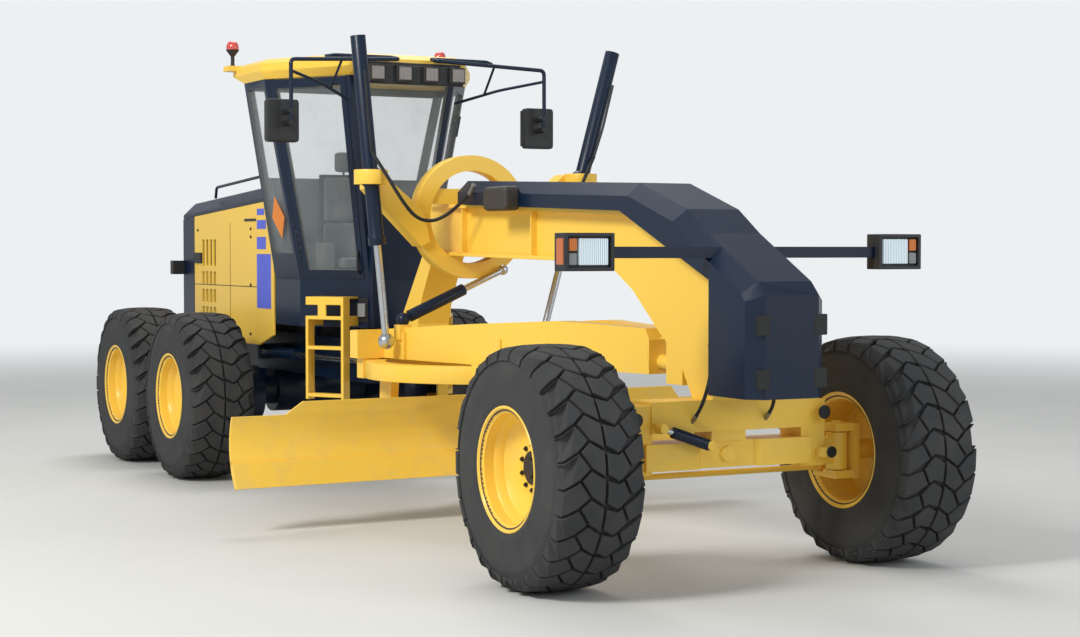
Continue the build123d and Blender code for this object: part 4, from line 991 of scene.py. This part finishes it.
clamps.done("mirror_clamps", dark_metal, "rear_frame", "black_metal", 0.003)
faces.done("mirror_faces", mirror_face, "rear_frame", "mirror", 0.002)
print("mirror arms:", len(SIDES))

# %% [markdown]
# ## Hoses
# Each lift cylinder is fed by a hose that hangs free between a clamp at the cylinder's collar and a silver
# fitting on the beam. It is one NURBS line with a sag, so its weight shows, and none of its bends is
# tighter than four of its own diameters. The steel line above it is bent pipe, clipped to the barrel, so it
# moves with the barrel.

# %% Hoses and lines
def length_of(points):
    """Length of a curve of the second order that passes the middles between its control points."""
    points = [Vector(p) for p in points]
    middles = [(a + b) / 2 for a, b in zip(points[1:-1], points[2:-1])]
    starts, ends = [points[0]] + middles, middles + [points[-1]]
    total = 0.0
    for start, corner, end in zip(starts, points[1:-1], ends):
        last = start
        for step in range(1, 33):
            t = step / 32
            here = start * (1 - t) ** 2 + corner * (2 * t * (1 - t)) + end * t**2
            total += (here - last).length
            last = here
    return total


def hose(name, points, diameter, body):
    """A free hose: a sagging line that leaves one fitting and ends at another."""
    piece = declare(curve(name, points, diameter / 2, hose_rubber), body)
    length_of(points)
    return piece


# places as (across, behind the front axle, up); each lift cylinder leans in its own way, so it has its own line
LIFT_LINES = {
    "left": ((1.0, 2.885, 2.92), (0.92, 2.885, 2.62), (0.853, 2.892, 2.42)),
    "right": ((-0.86, 2.9, 2.95), (-0.835, 2.9, 2.62), (-0.812, 2.902, 2.42)),
}
LIFT_HOSE = (
    (0.74, 2.825, 2.27), (0.66, 2.79, 2.12), (0.55, 2.8, 1.99), (0.44, 2.79, 1.96),
    (0.35, 2.74, 2.0), (0.29, 2.62, 2.09), (0.264, 2.556, 2.15),
)
LIFT_FITTING = ((0.264, 2.568, 2.138), (0.26, 2.506, 2.2))
AXLE_HOSE = (
    (0.13, -0.12, 1.27), (0.16, -0.19, 1.17), (0.21, -0.235, 1.06),
    (0.236, -0.2, 0.93), (0.236, -0.135, 0.875),
)
AXLE_FITTING = ((0.236, -0.155, 0.892), (0.237, -0.1, 0.845))
HEX = 6
fittings = Shape()
for side, name in SIDES:
    line = on_side(1, LIFT_LINES[name])
    tube("lift_line_" + name, line, 0.009, dark_metal, "lift_barrel_" + name, "black_metal", 0.05)
    hose("lift_hose_" + name, line[-1:] + on_side(side, LIFT_HOSE), 0.024, "front_frame")
    fittings.rod(*on_side(side, LIFT_FITTING), 0.017, HEX)
    hose("axle_hose_" + name, on_side(side, AXLE_HOSE), 0.02, "front_frame")
    fittings.rod(*on_side(side, AXLE_FITTING), 0.014, HEX)
fittings.done("hose_fittings", steel, "front_frame", "rod", 0.002)
print("hoses and fittings: 4 of each")

# %% [markdown]
# ## Hood and cab fittings
# The hood's side panels have a latch, a dark strip, six fasteners and two seams. The blank plates keep the
# colour of the marks on a real machine and none of their content. A handrail runs along the top of each
# side. The cab gets a blank diamond on its rear side window, a lamp beside the ladder in a near-black panel
# that is painted shade for the lamp's recess, and a grip on each door.

# %% Hood and side fittings
PANEL_X = 0.55
SUNK = 0.546
FASTENERS = ((5.985, 1.942), (5.986, 1.878), (5.992, 1.494), (5.999, 1.101), (7.33, 1.942), (7.33, 1.101))
FASTENER = ((0.0, 0.012), (0.009, 0.012), (0.011, 0.008), (0.011, 0.001))
# front lower and rear upper corner of each plate, as (behind the front axle, up)
PLATES = (
    ((5.68, 2.05), (5.84, 2.1)),
    ((5.636, 1.94), (5.843, 2.01)),
    ((5.64, 1.78), (5.845, 1.877)),
    ((5.53, 1.314), (5.847, 1.742)),
)
HANDRAIL = ((0.5, 7.007, 2.21), (0.5, 6.979, 2.3), (0.5, 5.85, 2.36), (0.5, 5.83, 2.24))


def panel(shape, side, low, high, out):
    """A low plate on the side panel, between two corners written as (behind the front axle, up)."""
    side_box(shape, side, (SUNK, PANEL_X + out), (low[0], high[0]), (low[1], high[1]))


black_bits, plates, seams = Shape(), Shape(), Shape()
for side, name in SIDES:
    panel(black_bits, side, (7.23, 1.66), (7.395, 1.75), 0.014)
    panel(black_bits, side, (5.866, 2.004), (6.127, 2.024), 0.008)
    for back, up in FASTENERS:
        black_bits.turned(FASTENER, (side * 0.548, behind(back), up), (side, 0, 0), 16)
    panel(seams, side, (5.55, 1.477), (7.43, 1.483), 0.0015)
    panel(seams, side, (6.49, 1.03), (6.496, 2.0), 0.0015)
    for low, high in PLATES:
        panel(plates, side, low, high, 0.002)
    tube("handrail_" + name, on_side(side, HANDRAIL), 0.012, navy, "rear_frame", "navy_paint", 0.03)
black_bits.done("hood_fittings", black_plastic, "rear_frame", "black_plastic", 0.003)
seams.done("panel_seams", dark_metal, "rear_frame", "black_metal", 0.0)
plates.done("blank_plates", blue_plate, "rear_frame", "black_plastic", 0.0)
print("blank plates:", len(PLATES), "on each side")

# %% Rear glass diamond, door handles and recess lamps
FRONT_FOOT = (0.208, 4.373)
MIDDLE_FOOT = (0.541, 4.922)
MIDDLE_EAVE = 0.827
SILL = 1.55
EAVE_RISE = 1.49


def glass_side(side, back, up, out):
    """A place on the cab's rear side window, which leans outward as it rises."""
    across = MIDDLE_FOOT[0] + (MIDDLE_EAVE - MIDDLE_FOOT[0]) * (up - SILL) / EAVE_RISE
    return (side * (across + out), behind(back), up)


def wall(side, along, out, up):
    """A place on the cab's lower front wall, along it from the front pillar's foot."""
    reach = math.hypot(MIDDLE_FOOT[0] - FRONT_FOOT[0], MIDDLE_FOOT[1] - FRONT_FOOT[1])
    dx, dy = (MIDDLE_FOOT[0] - FRONT_FOOT[0]) / reach, (MIDDLE_FOOT[1] - FRONT_FOOT[1]) / reach
    across, back = FRONT_FOOT[0] + dx * along + dy * out, FRONT_FOOT[1] + dy * along - dx * out
    return (side * across, behind(back), up)


def wall_box(shape, side, along, height, out):
    """A box that stands out from the cab's lower front wall."""
    corners = ((along[0], height[0]), (along[1], height[0]), (along[1], height[1]), (along[0], height[1]))
    rows = [[shape.mesh.verts.new(wall(side, a, depth, b)) for a, b in corners] for depth in (0.0, out)]
    shape.skin(rows)


DIAMOND = ((-0.13, 0), (0, -0.16), (0.13, 0), (0, 0.16))
GRIP = ((0.004, 1.6), (0.045, 1.62), (0.045, 1.76), (0.004, 1.78))
GRIP_ALONG = 0.075
diamonds, panels, lamp_boxes = Shape(), Shape(), Shape()
for side, name in SIDES:
    diamonds.slab([glass_side(side, 5.12 + a, 2.02 + b, 0.006) for a, b in DIAMOND], side * 0.002)
    # the near-black panel round each step lamp is painted shade: it stands for the shaded inside of the lamp's
    # recess
    wall_box(panels, side, (0.012, 0.1), (1.24, 1.42), 0.006)
    wall_box(lamp_boxes, side, (0.022, 0.09), (1.28, 1.38), 0.03)
    grip = [wall(side, GRIP_ALONG, out, up) for out, up in GRIP]
    tube("door_handle_" + name, grip, 0.009, black_plastic, "door_" + name, "black_plastic", 0.012)
diamonds.done("blank_diamonds", orange_plate, "rear_frame", "glass", 0.0)
panels.done("step_lamp_recess_shade", dark_metal, "rear_frame", "black_metal", 0.003)
lamp_boxes.done("step_lamps", pale_grey, "rear_frame", "lamp", 0.006)
print("diamonds, step lamps and handles done")

# %% [markdown]
# ## Radiator fins
# Behind the grille's slats stands the radiator's face: a dark plate with a row of thin upright fins.

# %% Grille fins
FINS = 44
FIN_STEP = 0.0203
FIN_HALF = 0.0018
fins = Shape().box((-0.445, behind(7.672), 1.225), (0.445, behind(7.678), 1.955))
for fin in range(FINS):
    at = -0.437 + fin * FIN_STEP
    fins.box((at - FIN_HALF, behind(7.677), 1.228), (at + FIN_HALF, behind(7.697), 1.952))
fins.done("grille_fins", dark_metal, "rear_frame", "black_metal", 0.0)
print("fins:", FINS)

# %% [markdown]
# ## The seat
# A cushion is foam held in by cloth, so its shape comes from pressure against seams, not from a drawn
# profile. Each pad starts as a box a little smaller than it should end, is remeshed to an even grid, and is
# then blown up as cloth with its seams pinned. Weight plays no part. How far a point may move is capped,
# and the pose of the last frame is kept as the mesh.

# %% Cushions as cloth
CAP = 0.024
ROUND = 0.022
LAST_FRAME = 20


def frozen(piece):
    """The mesh of a piece with its modifiers worked in."""
    view = bpy.context.evaluated_depsgraph_get()
    view.update()
    return bpy.data.meshes.new_from_object(piece.evaluated_get(view))


def cushion(name, low, high, seams, voxel, replaces=()):
    """A padded block between two corners, with seams across it at these heights or depths."""
    block = Shape().box(low, high)
    edges = block.mesh.edges[:]
    bmesh.ops.bevel(block.mesh, geom=edges, offset=ROUND, segments=4, profile=0.5, affect="EDGES")
    start = put(name + "_start", block.data(name, seat_cloth))
    remesh = start.modifiers.new("even", "REMESH")
    remesh.mode = "VOXEL"
    remesh.voxel_size = voxel
    data = frozen(start)
    bpy.data.objects.remove(start)
    piece = put(name, data)
    before = [vertex.co.copy() for vertex in data.vertices]
    pins = piece.vertex_groups.new(name="seams")
    for vertex in data.vertices:
        if any(abs(vertex.co[axis] - place) < voxel * 0.8 for axis, place in seams):
            pins.add([vertex.index], 1.0, "REPLACE")
    cloth_modifier = piece.modifiers.new("cloth", "CLOTH")
    cloth_modifier.settings.vertex_group_mass = "seams"
    cloth_modifier.settings.use_pressure = True
    cloth_modifier.settings.uniform_pressure_force = 4.0
    cloth_modifier.settings.effector_weights.gravity = 0.0
    for number in range(1, LAST_FRAME + 1):
        bpy.context.scene.frame_set(number)
    blown = frozen(piece)
    moves = [vertex.co - start_at for vertex, start_at in zip(blown.vertices, before)]
    for vertex, start_at, move in zip(data.vertices, before, moves):
        vertex.co = start_at + move * min(1.0, CAP / max(move.length, 1e-9))
    bpy.data.meshes.remove(blown)
    piece.modifiers.clear()
    print(name, "moved up to", round(max(m.length for m in moves) * 1000, 1), "mm")
    data.materials.clear()
    data.materials.append(seat_cloth)
    data.shade_smooth()
    smooth = piece.modifiers.new("even", "SUBSURF")
    smooth.levels = 1
    smooth.render_levels = 1
    return declare(piece, "rear_frame", 0.0, replaces)


# each row: name, low and high corners as (across, behind the front axle, up), seams as (axis, place),
# the grid's step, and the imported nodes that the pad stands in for
SEAMS = ((0, -0.12), (0, 0.12))
PADS = (
    ("pad_seat", (-0.225, 4.82, 1.632), (0.225, 5.165, 1.712),
     ((0, -0.13), (0, 0.13), (1, behind(4.93))), 0.006, ["seat_cushion"]),
    ("pad_back_low", (-0.215, 5.19, 1.69), (0.215, 5.29, 1.98), SEAMS, 0.006, ["seat_back"]),
    ("pad_back_high", (-0.205, 5.2, 2.0), (0.205, 5.3, 2.33), SEAMS, 0.006, ()),
    ("pad_head", (-0.12, 5.21, 2.38), (0.12, 5.29, 2.53), ((0, 0.0),), 0.005, ()),
)
for name, low, high, seams, voxel, stands_for in PADS:
    cushion(name, *on_side(1, (low, high)), seams, voxel, stands_for)
seat_frame = Shape().box((-0.225, behind(5.3), 1.66), (0.225, behind(5.335), 2.36))
for side, _ in SIDES:
    seat_frame.rod((side * 0.05, behind(5.255), 2.3), (side * 0.05, behind(5.255), 2.42), 0.008)
seat_frame.done("seat_shell", black_plastic, "rear_frame", "black_plastic", 0.015)
print("cushions:", len(PADS))

# %% [markdown]
# ## Before the last line

# %% Finish
print("finished")
